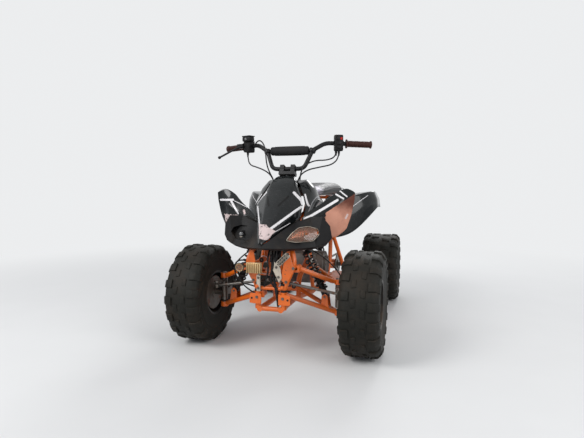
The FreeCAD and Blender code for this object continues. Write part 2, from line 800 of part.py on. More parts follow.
# Rear: one axle with both hubs, the sprocket and the brake disc, in the swingarm's carrier.

sprocket_x = 66
sprocket_radius = 73
sprocket_thickness = 6
rear_disc_radius = 88


def make_rear_axle():
    def at(x):
        return Vector(x, wheelbase, rear_tyre_radius)

    face = rear_hub_x - gap
    boss = sprocket_x - 10
    pieces = [shaft(at(-boss), at(boss), axle_radius)]
    profile = [(boss, 30), (boss + 20, 30), (boss + 20, axle_radius), (rear_hub_x - 60, axle_radius),
               (rear_hub_x - 60, 26), (rear_hub_x - 9, 26), (rear_hub_x - 9, 62), (face, 62), (face, 18),
               (rear_hub_x + 24, 18)]
    for side in (LEFT, RIGHT):
        pieces.append(turned(profile, at(0), Vector(side, 0, 0), 10))
    for middle, radius, thickness in ((sprocket_x, sprocket_radius, sprocket_thickness),
                                      (-sprocket_x, rear_disc_radius, 4)):
        pieces.append(rod(at(middle - thickness / 2), at(middle + thickness / 2), radius, WHEEL_FLATS))
    return fused(pieces)


node_from_shape("rear_axle", make_rear_axle())


def make_swingarm():
    y, z = wheelbase, rear_tyre_radius
    pivot_half, arm_x = 54, 39
    carrier = rod(Vector(-52, y, z), Vector(52, y, z), 34, 12)
    arm = rod(Vector(arm_x, swing_y + 11, swing_z - 1), Vector(arm_x, y - 22, z + 2), tube_radius)
    pivot = rod(Vector(-pivot_half, swing_y, swing_z), Vector(pivot_half, swing_y, swing_z), 17)
    mount_y = rear_shock_low.y
    mount_z = swing_z + (z - swing_z) * (mount_y - swing_y) / (y - swing_y)
    cross = rod(Vector(-arm_x, mount_y, mount_z), Vector(arm_x, mount_y, mount_z), 12)
    ears = [block(side * (shock_eye_half - ear_thickness), side * shock_eye_half, mount_y - 14, mount_y + 14,
                  mount_z, rear_shock_low.z + 12) for side in (LEFT, RIGHT)]
    eye = Vector(shock_eye_half, 0, 0)
    pin = rod(rear_shock_low - eye, rear_shock_low + eye, pin_radius)
    shape = fused([carrier, pivot, cross, pin] + both(arm) + ears)
    shape = shape.cut(shaft(Vector(-90, y, z), Vector(90, y, z), axle_radius + gap))
    bore = rod(Vector(-90, swing_y, swing_z), Vector(90, swing_y, swing_z), pivot_radius + gap)
    return shape.cut(bore)


node_from_shape("swingarm", make_swingarm())
node_from_shape("rear_shock", make_shock(rear_shock_low, rear_shock_high, Vector(1, 0, 0), 30, 9, 7))


# The engine: crankcase, finned cylinder, covers and carburettor, sketched and padded.

engine_y0, engine_y1 = 350, 574
fin_count = 8
fin_pitch = 15
first_fin_z = 425
chain_front_y, chain_front_z = 620, 290


def make_engine():
    body = new_body("engine")
    case = [(engine_y0 + 20, engine_low_z), (engine_y1 - 30, engine_low_z), (engine_y1, 270),
            (engine_y1, 350), (engine_y1 - 50, 400), (engine_y0 + 30, 400), (engine_y0, 360),
            (engine_y0, 262)]
    pad(body, "crankcase", outline(body, "crankcase_outline", "YZ_Plane", case), 168, middle=True)
    covers = (("clutch_cover", (440, 330), 80, 84), ("dynamo_cover", (450, 325), 72, -126))
    for name, middle, radius, start in covers:
        ring = ring_corners(*middle, radius, 16)
        pad(body, name, outline(body, name + "_outline", "YZ_Plane", ring, start), 42)
    cover_rim = ring_corners(440, 330, 52, 12)
    pad(body, "clutch_cap", outline(body, "clutch_cap_outline", "YZ_Plane", cover_rim, 120), 18)
    barrel = [(-42, 400), (42, 400), (42, 490), (-42, 490)]
    pad(body, "barrel", outline(body, "barrel_outline", "XY_Plane", barrel, 395), 165)
    fin = [(-58, 386), (58, 386), (58, 506), (-58, 506)]
    first_fin = pad(body, "fin", outline(body, "fin_outline", "XY_Plane", fin, first_fin_z), 5)
    repeated(body, "fins", first_fin, "Z_Axis", fin_pitch * (fin_count - 1), fin_count)
    carburettor = ring_corners(0, 545, 21, 8)
    pad(body, "carburettor", outline(body, "carburettor_outline", "XZ_Plane", carburettor, -560), 80)
    bowl = [(-20, 515), (20, 515), (20, 550), (-20, 550)]
    pad(body, "float_bowl", outline(body, "float_bowl_outline", "XY_Plane", bowl, 478), 50)
    boss = [(engine_y1 - 10, 266), (chain_front_y + 14, 270), (chain_front_y + 14, 310),
            (engine_y1 - 10, 314)]
    pad(body, "sprocket_boss", outline(body, "sprocket_boss_outline", "YZ_Plane", boss, 20), 30)
    stub = ring_corners(chain_front_y, chain_front_z, 12, 8)
    pad(body, "sprocket_stub", outline(body, "sprocket_stub_outline", "YZ_Plane", stub, 45), sprocket_x - 42)
    wheel = ring_corners(chain_front_y, chain_front_z, 28, 12)
    pad(body, "front_sprocket", outline(body, "front_sprocket_outline", "YZ_Plane", wheel, sprocket_x - 3), 6)
    return finish_body(body)


make_engine()


def in_frame(name):
    """A sketched body's shape, back in the frame that the other pieces are drawn in."""
    shape = nodes[name].Shape.copy()
    shape.translate(Vector(0, -float(front_axle_y), 0))
    return shape


engine = in_frame("engine")


def chain_loop(extra):
    """The chain's outline round both sprockets, grown by an even amount, in short straight runs."""
    front = (chain_front_y, chain_front_z, 28.8 + extra)
    rear = (wheelbase, rear_tyre_radius, sprocket_radius / math.cos(math.pi / WHEEL_FLATS) + 0.4 + extra)
    span = math.hypot(rear[0] - front[0], rear[1] - front[1])
    tilt = math.atan2(rear[1] - front[1], rear[0] - front[0])
    lift = math.acos((front[2] - rear[2]) / span)
    corners = []
    for (y, z, radius), start, swing, steps in ((rear, tilt - lift, 2 * lift, 10),
                                                (front, tilt + lift, 2 * (math.pi - lift), 5)):
        reach = radius / math.cos(swing / steps / 2)
        for step in range(steps):
            angle = start + (step + 0.5) * swing / steps
            corners.append(Vector(sprocket_x - 6, y + reach * math.cos(angle), z + reach * math.sin(angle)))
    return polygon(corners)


chain_depth = 11
node_from_shape("chain", chain_loop(chain_depth).cut(chain_loop(0.6)).extrude(Vector(12, 0, 0)))


def make_exhaust():
    port_y = 384 - gap
    header = tube([Vector(-30, port_y, 540), Vector(-30, 344, 540), Vector(-130, 344, 430),
                   Vector(-150, 600, 400), Vector(-165, 760, 470), Vector(-165, 830, 490)], 14, 36)
    low, high = Vector(-165, 826, 489), Vector(-165, wheelbase + 80, 560)
    reach = (high - low).Length
    can = turned([(0, 20), (26, 42), (reach - 12, 42), (reach, 34), (reach + 40, 16)], low, high - low, 12)
    return fused([header, can])


node_from_shape("exhaust", make_exhaust().cut(engine))


# The stem, the bar and what sits on it.

bar_points = [
    Vector(0, 139, 862), Vector(82, 141, 862), Vector(120, 170, 955), Vector(180, 198, 992),
    Vector(number("bar_half"), 287, 985),
]
bar_flats = 12
brace_y, brace_z = 170, 953
clamp_x = 28


def make_stem():
    pieces = [shaft(on_stem(0, 0, -14), on_stem(0, 0, stem_end - 12), stem_radius),
              stem_plate([(-16, 10), (16, 10), (28, -46), (28, -66), (-28, -66), (-28, -46)], -14, -6)]
    for side in (LEFT, RIGHT):
        pieces.append(shaft(on_stem(side * pitman_ball[0], pitman_ball[1], -14),
                            on_stem(side * pitman_ball[0], pitman_ball[1], -30), 4))
    pieces.append(stem_plate([(-42, -20), (42, -20), (42, 20), (-42, 20)], stem_end - 28, stem_end - 12))
    for x in (-clamp_x, clamp_x):
        pieces.append(stem_plate([(x - 11, -18), (x + 11, -18), (x + 11, 20), (x - 11, 20)],
                                 stem_end - 12, stem_end + 24))
    return fused(pieces)


def make_bar():
    half = tube(bar_points, bar_radius, 34, bar_flats)
    brace = rod(Vector(-118, brace_y, brace_z), Vector(118, brace_y, brace_z), 6.5)
    return fused(both(half) + [brace])


bar_shape = make_bar()
node_from_shape("handlebar", bar_shape)
node_from_shape("steering_stem", make_stem().cut(bar_shape))
grip_direction = (bar_points[4] - bar_points[3]).normalize()


def along_bar(reach, side):
    """A point on the middle line of the bar's straight end, reach in from the tip."""
    spot = bar_points[4] - grip_direction * reach
    return Vector(side * spot.x, spot.y, spot.z)


def make_grip(side):
    radius = number("grip_diameter") / 2
    profile = [(0, radius + 7), (6, radius + 7), (7, radius), (112, radius), (120, radius + 2),
               (130, radius + 2)]
    start = along_bar(130, side)
    return turned(profile, start, along_bar(-4, side) - start, bar_flats).cut(bar_shape)


node_from_shape("grips", Part.makeCompound([make_grip(LEFT), make_grip(RIGHT)]))

control_reach = 168


def turned_box(middle, turn, low, high):
    """A box given from a middle point, turned about the upright."""
    extent = high - low
    box = Part.makeBox(extent.x, extent.y, extent.z, low)
    box.Placement = Placement(middle, Rotation(Vector(0, 0, 1), turn))
    return box


def make_switch_box():
    middle = along_bar(control_reach, LEFT)
    case = turned_box(middle, 22, Vector(-21, -28, -38), Vector(21, 20, 44))
    case = case.makeChamfer(5, [edge for edge in case.Edges if abs(edge.tangentAt(0).z) > 0.9])
    knob = turned_box(middle, 22, Vector(-8, -34, 16), Vector(8, -28, 28))
    thumb = turned_box(middle, 22, Vector(6, 20, -34), Vector(16, 52, -28))
    return fused([case, knob, thumb]).cut(bar_shape)


node_from_shape("switch_box", make_switch_box())
lever_tip = Vector(-386, 150, 928)


def make_brake_control():
    middle = along_bar(control_reach, RIGHT)
    case = turned_box(middle, -22, Vector(-20, -34, -34), Vector(22, 18, 30))
    perch = turned_box(middle, -22, Vector(-60, -44, -12), Vector(-16, -28, 12))
    reservoir = turned_box(middle, -22, Vector(-12, -50, 22), Vector(44, -8, 52))
    reservoir = reservoir.makeChamfer(6, [edge for edge in reservoir.Edges if abs(edge.tangentAt(0).z) > 0.9])
    lid = turned_box(middle, -22, Vector(-8, -46, 52), Vector(40, -12, 57))
    start = middle + Vector(-54, -17, -2)
    lever = tube([start, start + Vector(-50, -22, -12), lever_tip], 5.5, 30)
    ball = turned([(-8, 4), (-5, 8), (5, 8), (8, 4)], lever_tip, lever_tip - start, TUBE_FLATS)
    return fused([case, perch, reservoir, lid, lever, ball]).cut(bar_shape)


node_from_shape("brake_control", make_brake_control())


def make_pad():
    """The crossbar's pad, which fills the space between the bar's two risers."""
    rings = []
    for x, inset in ((-104, 5), (-98, 0), (98, 0), (104, 5)):
        low, high, front, back = 924 + inset, 985 - inset, 143 + inset, 197 - inset
        rings.append([Vector(x, front, low + 10), Vector(x, front + 10, low), Vector(x, back - 10, low),
                      Vector(x, back, low + 10), Vector(x, back, high - 10), Vector(x, back - 10, high),
                      Vector(x, front + 10, high), Vector(x, front, high - 10)])
    return skinned(rings).cut(bar_shape)


node_from_shape("bar_pad", make_pad())


# The tie rods, from the stem's plate to the knuckles' arms. The outer end hangs clear of the arm.

outer_eye_gap = 3
inner_eye_low, inner_eye_high = -29, -15.5


def make_tie_rod(side):
    inner_low = on_stem(side * pitman_ball[0], pitman_ball[1], inner_eye_low)
    inner_high = on_stem(side * pitman_ball[0], pitman_ball[1], inner_eye_high)
    outer_top = Vector(side * (kingpin_x + arm_ball[0]), arm_ball[1], arm_ball_z - outer_eye_gap)
    outer_low = outer_top - Vector(0, 0, 22)
    middle_in = (inner_low + inner_high) * 0.5
    middle_out = outer_low + Vector(0, 0, 7)
    eye = turned([(0, 11), (14, 11), (16, 8), (22, 5)], outer_low, Vector(0, 0, 1), TUBE_FLATS)
    pieces = [rod(inner_low, inner_high, 11), rod(middle_in, middle_out, 6), eye]
    bore = shaft(on_stem(side * pitman_ball[0], pitman_ball[1], -40),
                 on_stem(side * pitman_ball[0], pitman_ball[1], -10), 4.3)
    return fused(pieces).cut(bore)


for name, side in SIDES:
    node_from_shape(f"tie_rod_{name}", make_tie_rod(side))


# The bodywork. Each panel is a grid of corners on its outer side, from its lower edge to the middle.

HOOD = [
    # low edge, striped crease, shoulder, middle
    [(3, -260, 518), (7, -259, 524), (4, -259, 531), (0, -259, 533)],
    [(30, -200, 548), (35, -200, 564), (17, -200, 584), (0, -200, 588)],
    [(50, -150, 571), (55, -150, 594), (28, -150, 624), (0, -150, 629)],
    [(69, -100, 590), (76, -100, 625), (38, -100, 664), (0, -100, 671)],
    [(89, -50, 608), (97, -50, 655), (47, -50, 706), (0, -50, 714)],
    [(109, 0, 626), (119, 0, 685), (55, 0, 747), (0, 0, 756)],
    [(96, 38, 712), (98, 38, 726), (60, 38, 782), (0, 38, 792)],
    [(68, 78, 770), (70, 78, 780), (55, 78, 812), (0, 78, 822)],
    [(52, 102, 800), (52, 102, 808), (40, 102, 824), (0, 102, 828)],
]


def make_hood():
    half = panel(grid(HOOD), wall, Vector(0, 150, 500))
    return fused(both(half))


hood_shape = make_hood()

TANK_COVER = [
    # low edge, side, peak, top, saddle, middle
    [(118, 0, 600), (127, 12, 684), (106, 46, 730), (78, 86, 786), (34, 146, 806), (0, 146, 806)],
    [(130, 60, 610), (152, 84, 700), (134, 106, 762), (104, 128, 803), (34, 160, 806), (0, 160, 806)],
    [(132, 140, 640), (162, 142, 706), (140, 160, 770), (96, 170, 815), (34, 180, 806), (0, 180, 806)],
    [(128, 225, 652), (150, 225, 702), (132, 238, 756), (84, 246, 790), (30, 250, 788), (0, 250, 788)],
    [(114, 330, 660), (122, 330, 704), (106, 330, 732), (72, 330, 752), (30, 330, 754), (0, 330, 755)],
    [(112, 424, 660), (118, 424, 692), (104, 424, 712), (72, 424, 722), (30, 424, 724), (0, 424, 725)],
]


def make_tank_cover():
    """The cover between hood and seat, with the fuel cap, notched in front round the stem."""
    half = panel(grid(TANK_COVER), wall, Vector(0, 200, 500))
    cap = rod(Vector(0, 262, 770), Vector(0, 262, 808), 32, 12)
    return fused(both(half) + [cap])


SURROUND = [
    # back low, lip's underside, lip, seam with the hood, back high
    [(0, -205, 500), (0, -232, 498), (0, -250, 507), (0, -248, 515), (0, -205, 515)],
    [(44, -170, 495), (46, -204, 493), (48, -218, 503), (28, -212, 539), (28, -180, 539)],
    [(90, -134, 490), (92, -162, 488), (96, -178, 499), (60, -130, 574), (58, -98, 574)],
    [(140, -92, 489), (142, -120, 487), (147, -137, 498), (90, -62, 602), (88, -28, 602)],
    [(194, -44, 492), (197, -72, 490), (203, -90, 502), (166, -48, 632), (160, -16, 632)],
    [(232, -22, 505), (238, -48, 503), (244, -64, 515), (226, -66, 636), (218, -38, 634)],
    [(254, -14, 532), (260, -36, 530), (266, -44, 540), (258, -52, 594), (250, -30, 592)],
]
LENS = [(82, 532), (120, 524), (190, 527), (216, 557), (205, 580), (165, 592), (124, 586), (98, 560)]
lens_depth = 16


def lens_y(x, z):
    """The sloping plane of the lamps' faces."""
    return -151 + 0.5 * (x - 82) + 1.05 * (z - 532) * 0.5


def lamp_prism(side, grow, front, back):
    """The lamp's outline between two planes beside its face; grow is an even margin."""
    middle_x = sum(x for x, z in LENS) / len(LENS)
    middle_z = sum(z for x, z in LENS) / len(LENS)
    rings = []
    for shift in (front, back):
        ring = []
        for x, z in LENS:
            reach = math.hypot(x - middle_x, z - middle_z)
            scale = (reach + grow) / reach
            across, up = middle_x + (x - middle_x) * scale, middle_z + (z - middle_z) * scale
            ring.append(Vector(side * across, lens_y(across, up) + shift, up))
        rings.append(ring)
    return skinned(rings)


def make_surround():
    """The wide lamp housing: a glazed lamp on the left, an open socket on the right."""
    half = skinned(grid(SURROUND))
    shape = fused(both(half)).cut(lamp_prism(LEFT, 2, -90, lens_depth + gap))
    return shape.cut(lamp_prism(RIGHT, 0, -90, 22))


surround = make_surround().cut(hood_shape)
surround = largest(surround)
bulb_spot = Vector(-150, lens_y(150, 552) + 22, 552)

FRONT_FENDER = [
    # top edge, crease, middle, low edge
    [(116, -14, 626), (124, -26, 602), (126, -24, 590), (126, -20, 580)],
    [(150, 2, 662), (169, -20, 631), (172, -16, 596), (176, -6, 556)],
    [(198, 24, 689), (214, 4, 643), (216, 10, 590), (232, 20, 530)],
    [(250, 58, 734), (281, 24, 689), (278, 30, 610), (270, 40, 536)],
    [(310, 64, 773), (303, 52, 717), (306, 54, 640), (296, 60, 556)],
    [(352, 58, 744), (350, 60, 706), (334, 60, 632), (312, 68, 574)],
]


def make_front_fender(side):
    return panel(grid(FRONT_FENDER, side), wall, Vector(side * 200, 400, 640))


shelf_z = seat_rail_top + wall
REAR_FENDER_FRONT = [
    # low outer edge, side, ridge, inner edge
    [(188, 376, 494), (176, 384, 600), (150, 392, 676), (122, 400, 688)],
    [(276, 424, 508), (268, 430, 620), (246, 436, 716), (122, 440, 700)],
    [(352, 500, 590), (366, 510, 676), (344, 516, 746), (118, 520, 712)],
    [(404, 590, 660), (400, 596, 704), (380, 600, 752), (112, 600, shelf_z)],
]
REAR_FENDER_BACK = [
    [(390, -290, 652), (386, -290, 704), (360, -290, 754), (112, -290, shelf_z)],
    [(372, 20, 640), (366, 20, 692), (340, 20, 742), (104, 20, shelf_z)],
    [(300, 176, 650), (292, 178, 684), (262, 180, 718), (98, 180, shelf_z)],
]


def make_rear_fender(side):
    rows = REAR_FENDER_FRONT + behind(REAR_FENDER_BACK)
    shape = panel(grid(rows, side), wall, Vector(side * 200, 700, 500))
    shelf = block(side * 74, side * 114, rail_end_y + 110, wheelbase + 100, seat_rail_top, shelf_z)
    return shape.fuse(shelf)


seat_pan_z = shelf_z + gap
SEAT_FRONT = [
    # y, low half width and z, side half width and z, top half width and z
    (428, 70, seat_pan_z, 74, 744, 50, 754),
    (520, 96, seat_pan_z, 99, 750, 70, 772),
    (640, 104, seat_pan_z, 108, 764, 82, 794),
]
SEAT_BACK = [
    (-300, 104, seat_pan_z, 112, 772, 86, 803),
    (-40, 102, seat_pan_z, 112, 774, 86, 806),
    (120, 88, seat_pan_z, 92, 762, 64, 788),
]


def make_seat():
    rings = []
    rows = SEAT_FRONT + [(y + wheelbase, *sizes) for y, *sizes in SEAT_BACK]
    for y, low_x, low_z, side_x, side_z, top_x, top_z in rows:
        half = [(low_x, low_z), (side_x, side_z), (top_x, top_z), (top_x * 0.45, top_z + 3)]
        left = [Vector(x, y, z) for x, z in half]
        right = [Vector(-x, y, z) for x, z in reversed(half)]
        rings.append(left + right)
    return skinned(rings)


for name, side in SIDES:
    node_from_shape(f"front_fender_{name}", largest(
        make_front_fender(side).cut(hood_shape).cut(surround).cut(tower_rails)))
node_from_shape("hood", hood_shape)
node_from_shape("lamp_surround", surround)
node_from_shape("headlamp_lens", lamp_prism(LEFT, 0, 0, lens_depth).cut(hood_shape))
node_from_shape("tank_cover", largest(make_tank_cover().cut(hood_shape).cut(backbone)))
node_from_shape("seat", make_seat())


def make_lamp_socket():
    """The empty lamp's bulb holder, standing on the back of its recess, with the bulb."""
    profile = [(0, 17), (10, 15), (16, 11), (26, 11), (26, 5), (36, 9), (45, 9), (52, 4)]
    return turned(profile, bulb_spot, Vector(0, -1, 0), 10).cut(surround)


node_from_shape("lamp_socket", make_lamp_socket())

for name, side in SIDES:
    fender = make_rear_fender(side).cut(subframe).cut(backbone)
    node_from_shape(f"rear_fender_{name}", largest(fender))


def make_tail_lamp():
    """The tail lamp, set against the subframe's last cross tube."""
    body = new_body("tail_lamp")
    face = [(-55, 698), (-47, 688), (47, 688), (55, 698), (55, 712), (47, 720), (-47, 720), (-55, 712)]
    pad(body, "lamp", outline(body, "lamp_outline", "XZ_Plane", face, -(size("wheelbase") + 152)), 36.7)
    return finish_body(body)


make_tail_lamp()


TOE_GUARD = [
    # inner edge, middle, outer edge
    [(150, 318, 385), (205, 300, 392), (262, 322, 380)],
    [(150, 300, 330), (205, 285, 335), (266, 305, 330)],
    [(152, 332, 280), (205, 324, 280), (262, 342, 280)],
]


def make_footrest(side):
    """The hoop beside the engine with its peg, heel tray and the guard in front of the boot."""
    hoop_tube = tube([Vector(side * 92, 330, 560), Vector(side * 190, 340, 520), Vector(side * 250, 400, 300),
                      Vector(side * 250, 520, 262), Vector(side * 92, 560, 225)], 10, 30)
    peg = rod(Vector(side * 150, 470, 262), Vector(side * 250, 470, 262), 11)
    tray = block(side * 150, side * 262, 330, 560, 274, 280)
    guard = panel(grid(TOE_GUARD, side), 5, Vector(side * 205, 500, 340))
    return fused([hoop_tube, peg, tray, guard])


for name, side in SIDES:
    node_from_shape(f"footrest_{name}", largest(make_footrest(side).cut(cradle).cut(backbone).cut(engine)))


# The regulator's finned box on the front hoop, and the small lamp that hangs beside it.

box_back_y = hoop_y + tube_radius + 5 + gap
box_x0, box_x1 = -106, -34


def make_regulator_box():
    body = new_body("regulator_box")
    case = [(box_x0, 384), (box_x0 + 4, 380), (box_x1 - 4, 380), (box_x1, 384),
            (box_x1, 424), (box_x1 - 4, 428), (box_x0 + 4, 428), (box_x0, 424)]
    pad(body, "case", outline(body, "case_outline", "XZ_Plane", case, box_back_y), 20)
    rib = [(box_x0 + 3, 384), (box_x0 + 6, 384), (box_x0 + 6, 424), (box_x0 + 3, 424)]
    first_rib = pad(body, "rib", outline(body, "rib_outline", "XZ_Plane", rib, box_back_y + 19), 10)
    repeated(body, "ribs", first_rib, "X_Axis", 63, 8)
    return finish_body(body)


make_regulator_box()
node_from_shape("hanging_lamp", turned([(0, 14), (4, 22), (30, 22), (box_x0 + 150 - gap, 16)],
                                       Vector(-150, -164, 408), Vector(1, 0, 0), 12))

# Control cables from the bar's ends into the gap behind the hood, and the front brakes' hoses.

CONTROL_ROUTES = [
    (LEFT, [(246, 206, 951.6), (246, 206, 918), (222, 172, 882), (168, 128, 868), (110, 100, 854),
            (72, 98, 826), (61, 100, 794)]),
    (LEFT, [(232, 204, 951.6), (232, 204, 924), (200, 150, 902), (146, 108, 900), (102, 84, 876),
            (82, 80, 842), (78, 84, 802)]),
    (RIGHT, [(246, 206, 955.6), (246, 206, 922), (216, 164, 886), (160, 120, 872), (108, 98, 854),
             (72, 98, 826), (61, 100, 794)]),
]
HOSE_ROUTE = [(302, 74, 264), (302, 74, 302), (284, 72, 352), (240, 66, 404), (186, 60, 446), (136, 58, 472),
              (105.3, 58, 486)]


def cable(points):
    """A cable along straight runs and wide eased bends."""
    path = [points[0]]
    for before, corner, after in zip(points, points[1:], points[2:]):
        shorter = min((corner - before).Length, (after - corner).Length)
        into, out = (corner - before).normalize(), (after - corner).normalize()
        reach = 0.45 * shorter
        path += [corner - into * reach, corner + out * reach]
    path.append(points[-1])
    return carried(path, cable_radius, PIN_FLATS)


def route(points, side):
    return [Vector(side * x, y, z) for x, y, z in points]


node_from_shape("control_cables", Part.makeCompound([cable(route(points, side))
                                                     for side, points in CONTROL_ROUTES]))
for name, side in SIDES:
    node_from_shape(f"brake_hose_{name}", cable(route(HOSE_ROUTE, side)))

doc.recompute()


def check_document():
    for item in doc.Objects:
        if "Invalid" in item.State or "Error" in item.State:
            raise RuntimeError(f"{item.Name} failed: {item.State}")
    for name, item in nodes.items():
        if item.Shape.isNull() or not item.Shape.isValid():
            raise RuntimeError(f"{name} has no valid shape")


check_document()
for name, item in nodes.items():
    item.Shape.exportStep(f"parts/{name}.step")
print(len(nodes), "sub-parts")
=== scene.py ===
import json
import math
from contextlib import contextmanager

import bpy
from mathutils import Matrix, Quaternion, Vector


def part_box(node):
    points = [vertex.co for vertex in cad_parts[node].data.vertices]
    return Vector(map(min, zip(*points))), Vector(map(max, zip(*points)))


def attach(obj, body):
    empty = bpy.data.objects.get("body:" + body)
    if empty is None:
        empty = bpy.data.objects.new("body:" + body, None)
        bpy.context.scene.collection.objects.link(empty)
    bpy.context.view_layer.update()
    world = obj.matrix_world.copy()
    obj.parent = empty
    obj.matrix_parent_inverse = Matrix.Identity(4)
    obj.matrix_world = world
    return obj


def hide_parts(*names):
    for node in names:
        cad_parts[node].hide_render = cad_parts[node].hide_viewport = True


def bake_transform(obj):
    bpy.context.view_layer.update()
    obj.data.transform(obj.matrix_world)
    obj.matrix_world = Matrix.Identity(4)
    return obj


# A sport quad bike with a bare orange frame, pointed black bodywork, one missing headlamp and no
# front bumper. +X is the rider's left, -Y is ahead and the ground is z = 0; places are in metres, and
# in millimetres in the tables.

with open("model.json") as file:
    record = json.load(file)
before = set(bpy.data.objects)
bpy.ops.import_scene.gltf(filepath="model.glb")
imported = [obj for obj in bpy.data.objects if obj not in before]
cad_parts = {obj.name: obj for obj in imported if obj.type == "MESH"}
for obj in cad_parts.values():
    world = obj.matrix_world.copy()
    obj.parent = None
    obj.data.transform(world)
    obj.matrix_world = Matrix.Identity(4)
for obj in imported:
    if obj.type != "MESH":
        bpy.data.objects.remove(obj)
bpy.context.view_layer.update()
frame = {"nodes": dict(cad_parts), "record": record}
NODES = frame["nodes"]
LEFT, RIGHT = 1, -1
SIDES = (("left", LEFT), ("right", RIGHT))
AHEAD = (0, -1, 0)
MM = 0.001
FULL_TURN = 2 * math.pi


# The camera stands where the photographer stood: ahead of the quad, to its left, at the bar's height.

PHOTO_WIDTH = 584
FOCAL_PIXELS = 434.8
CAMERA_PLACE = (0.6645, -2.5031, 0.7479)
CAMERA_YAW = 0.297
CAMERA_PITCH = 0.063
BACKGROUND = (0.84, 0.85, 0.86, 1)
SOFT_LIGHT = (0.90, 0.93, 1.0, 1)
SOFT_STRENGTH = 0.55


def make_camera():
    camera = bpy.data.cameras.new("camera")
    camera.lens = FOCAL_PIXELS / PHOTO_WIDTH * camera.sensor_width
    stand = bpy.data.objects.new("camera", camera)
    stand.location = CAMERA_PLACE
    stand.rotation_euler = (math.pi / 2 - CAMERA_PITCH, 0, CAMERA_YAW)
    bpy.context.scene.collection.objects.link(stand)
    bpy.context.scene.camera = stand


def make_lamp(name, place, aim, width, watts):
    lamp = bpy.data.lights.new(name, "AREA")
    lamp.shape = "DISK"
    lamp.size = width
    lamp.energy = watts
    stand = bpy.data.objects.new(name, lamp)
    stand.location = place
    stand.rotation_euler = (Vector(aim) - Vector(place)).to_track_quat("-Z", "Y").to_euler()
    bpy.context.scene.collection.objects.link(stand)


def make_sky():
    """An even pale world: seen as the background, and a softer light on what is matte."""
    world = bpy.data.worlds.new("studio")
    bpy.context.scene.world = world
    world.use_nodes = True
    nodes, links = world.node_tree.nodes, world.node_tree.links
    shown = nodes["Background"]
    shown.inputs["Color"].default_value = BACKGROUND
    soft = nodes.new("ShaderNodeBackground")
    soft.inputs["Color"].default_value = SOFT_LIGHT
    soft.inputs["Strength"].default_value = SOFT_STRENGTH
    rays = nodes.new("ShaderNodeLightPath")
    seen = rays.outputs["Is Camera Ray"]
    for word in ("Is Glossy Ray", "Is Transmission Ray"):
        either = nodes.new("ShaderNodeMath")
        either.operation = "MAXIMUM"
        links.new(seen, either.inputs[0])
        links.new(rays.outputs[word], either.inputs[1])
        seen = either.outputs[0]
    mix = nodes.new("ShaderNodeMixShader")
    links.new(seen, mix.inputs["Fac"])
    links.new(soft.outputs[0], mix.inputs[1])
    links.new(shown.outputs[0], mix.inputs[2])
    links.new(mix.outputs[0], nodes["World Output"].inputs["Surface"])


# Finishes: a small language for shader nodes, then one function for each finish.

class Signal:
    """One output of a shader node; plain arithmetic on it adds Math nodes."""

    def __init__(self, paint, socket):
        self.paint = paint
        self.socket = socket

    def math(self, operation, *others):
        return self.paint.add("ShaderNodeMath", {"operation": operation}, [self, *others])

    def __add__(self, other):
        return self.math("ADD", other)

    def __sub__(self, other):
        return self.math("SUBTRACT", other)

    def __rsub__(self, other):
        return self.paint.add("ShaderNodeMath", {"operation": "SUBTRACT"}, [other, self])

    def __mul__(self, other):
        return self.math("MULTIPLY", other)

    def clamped(self):
        return self.paint.add("ShaderNodeClamp", {}, [self])

    __radd__ = __add__
    __rmul__ = __mul__


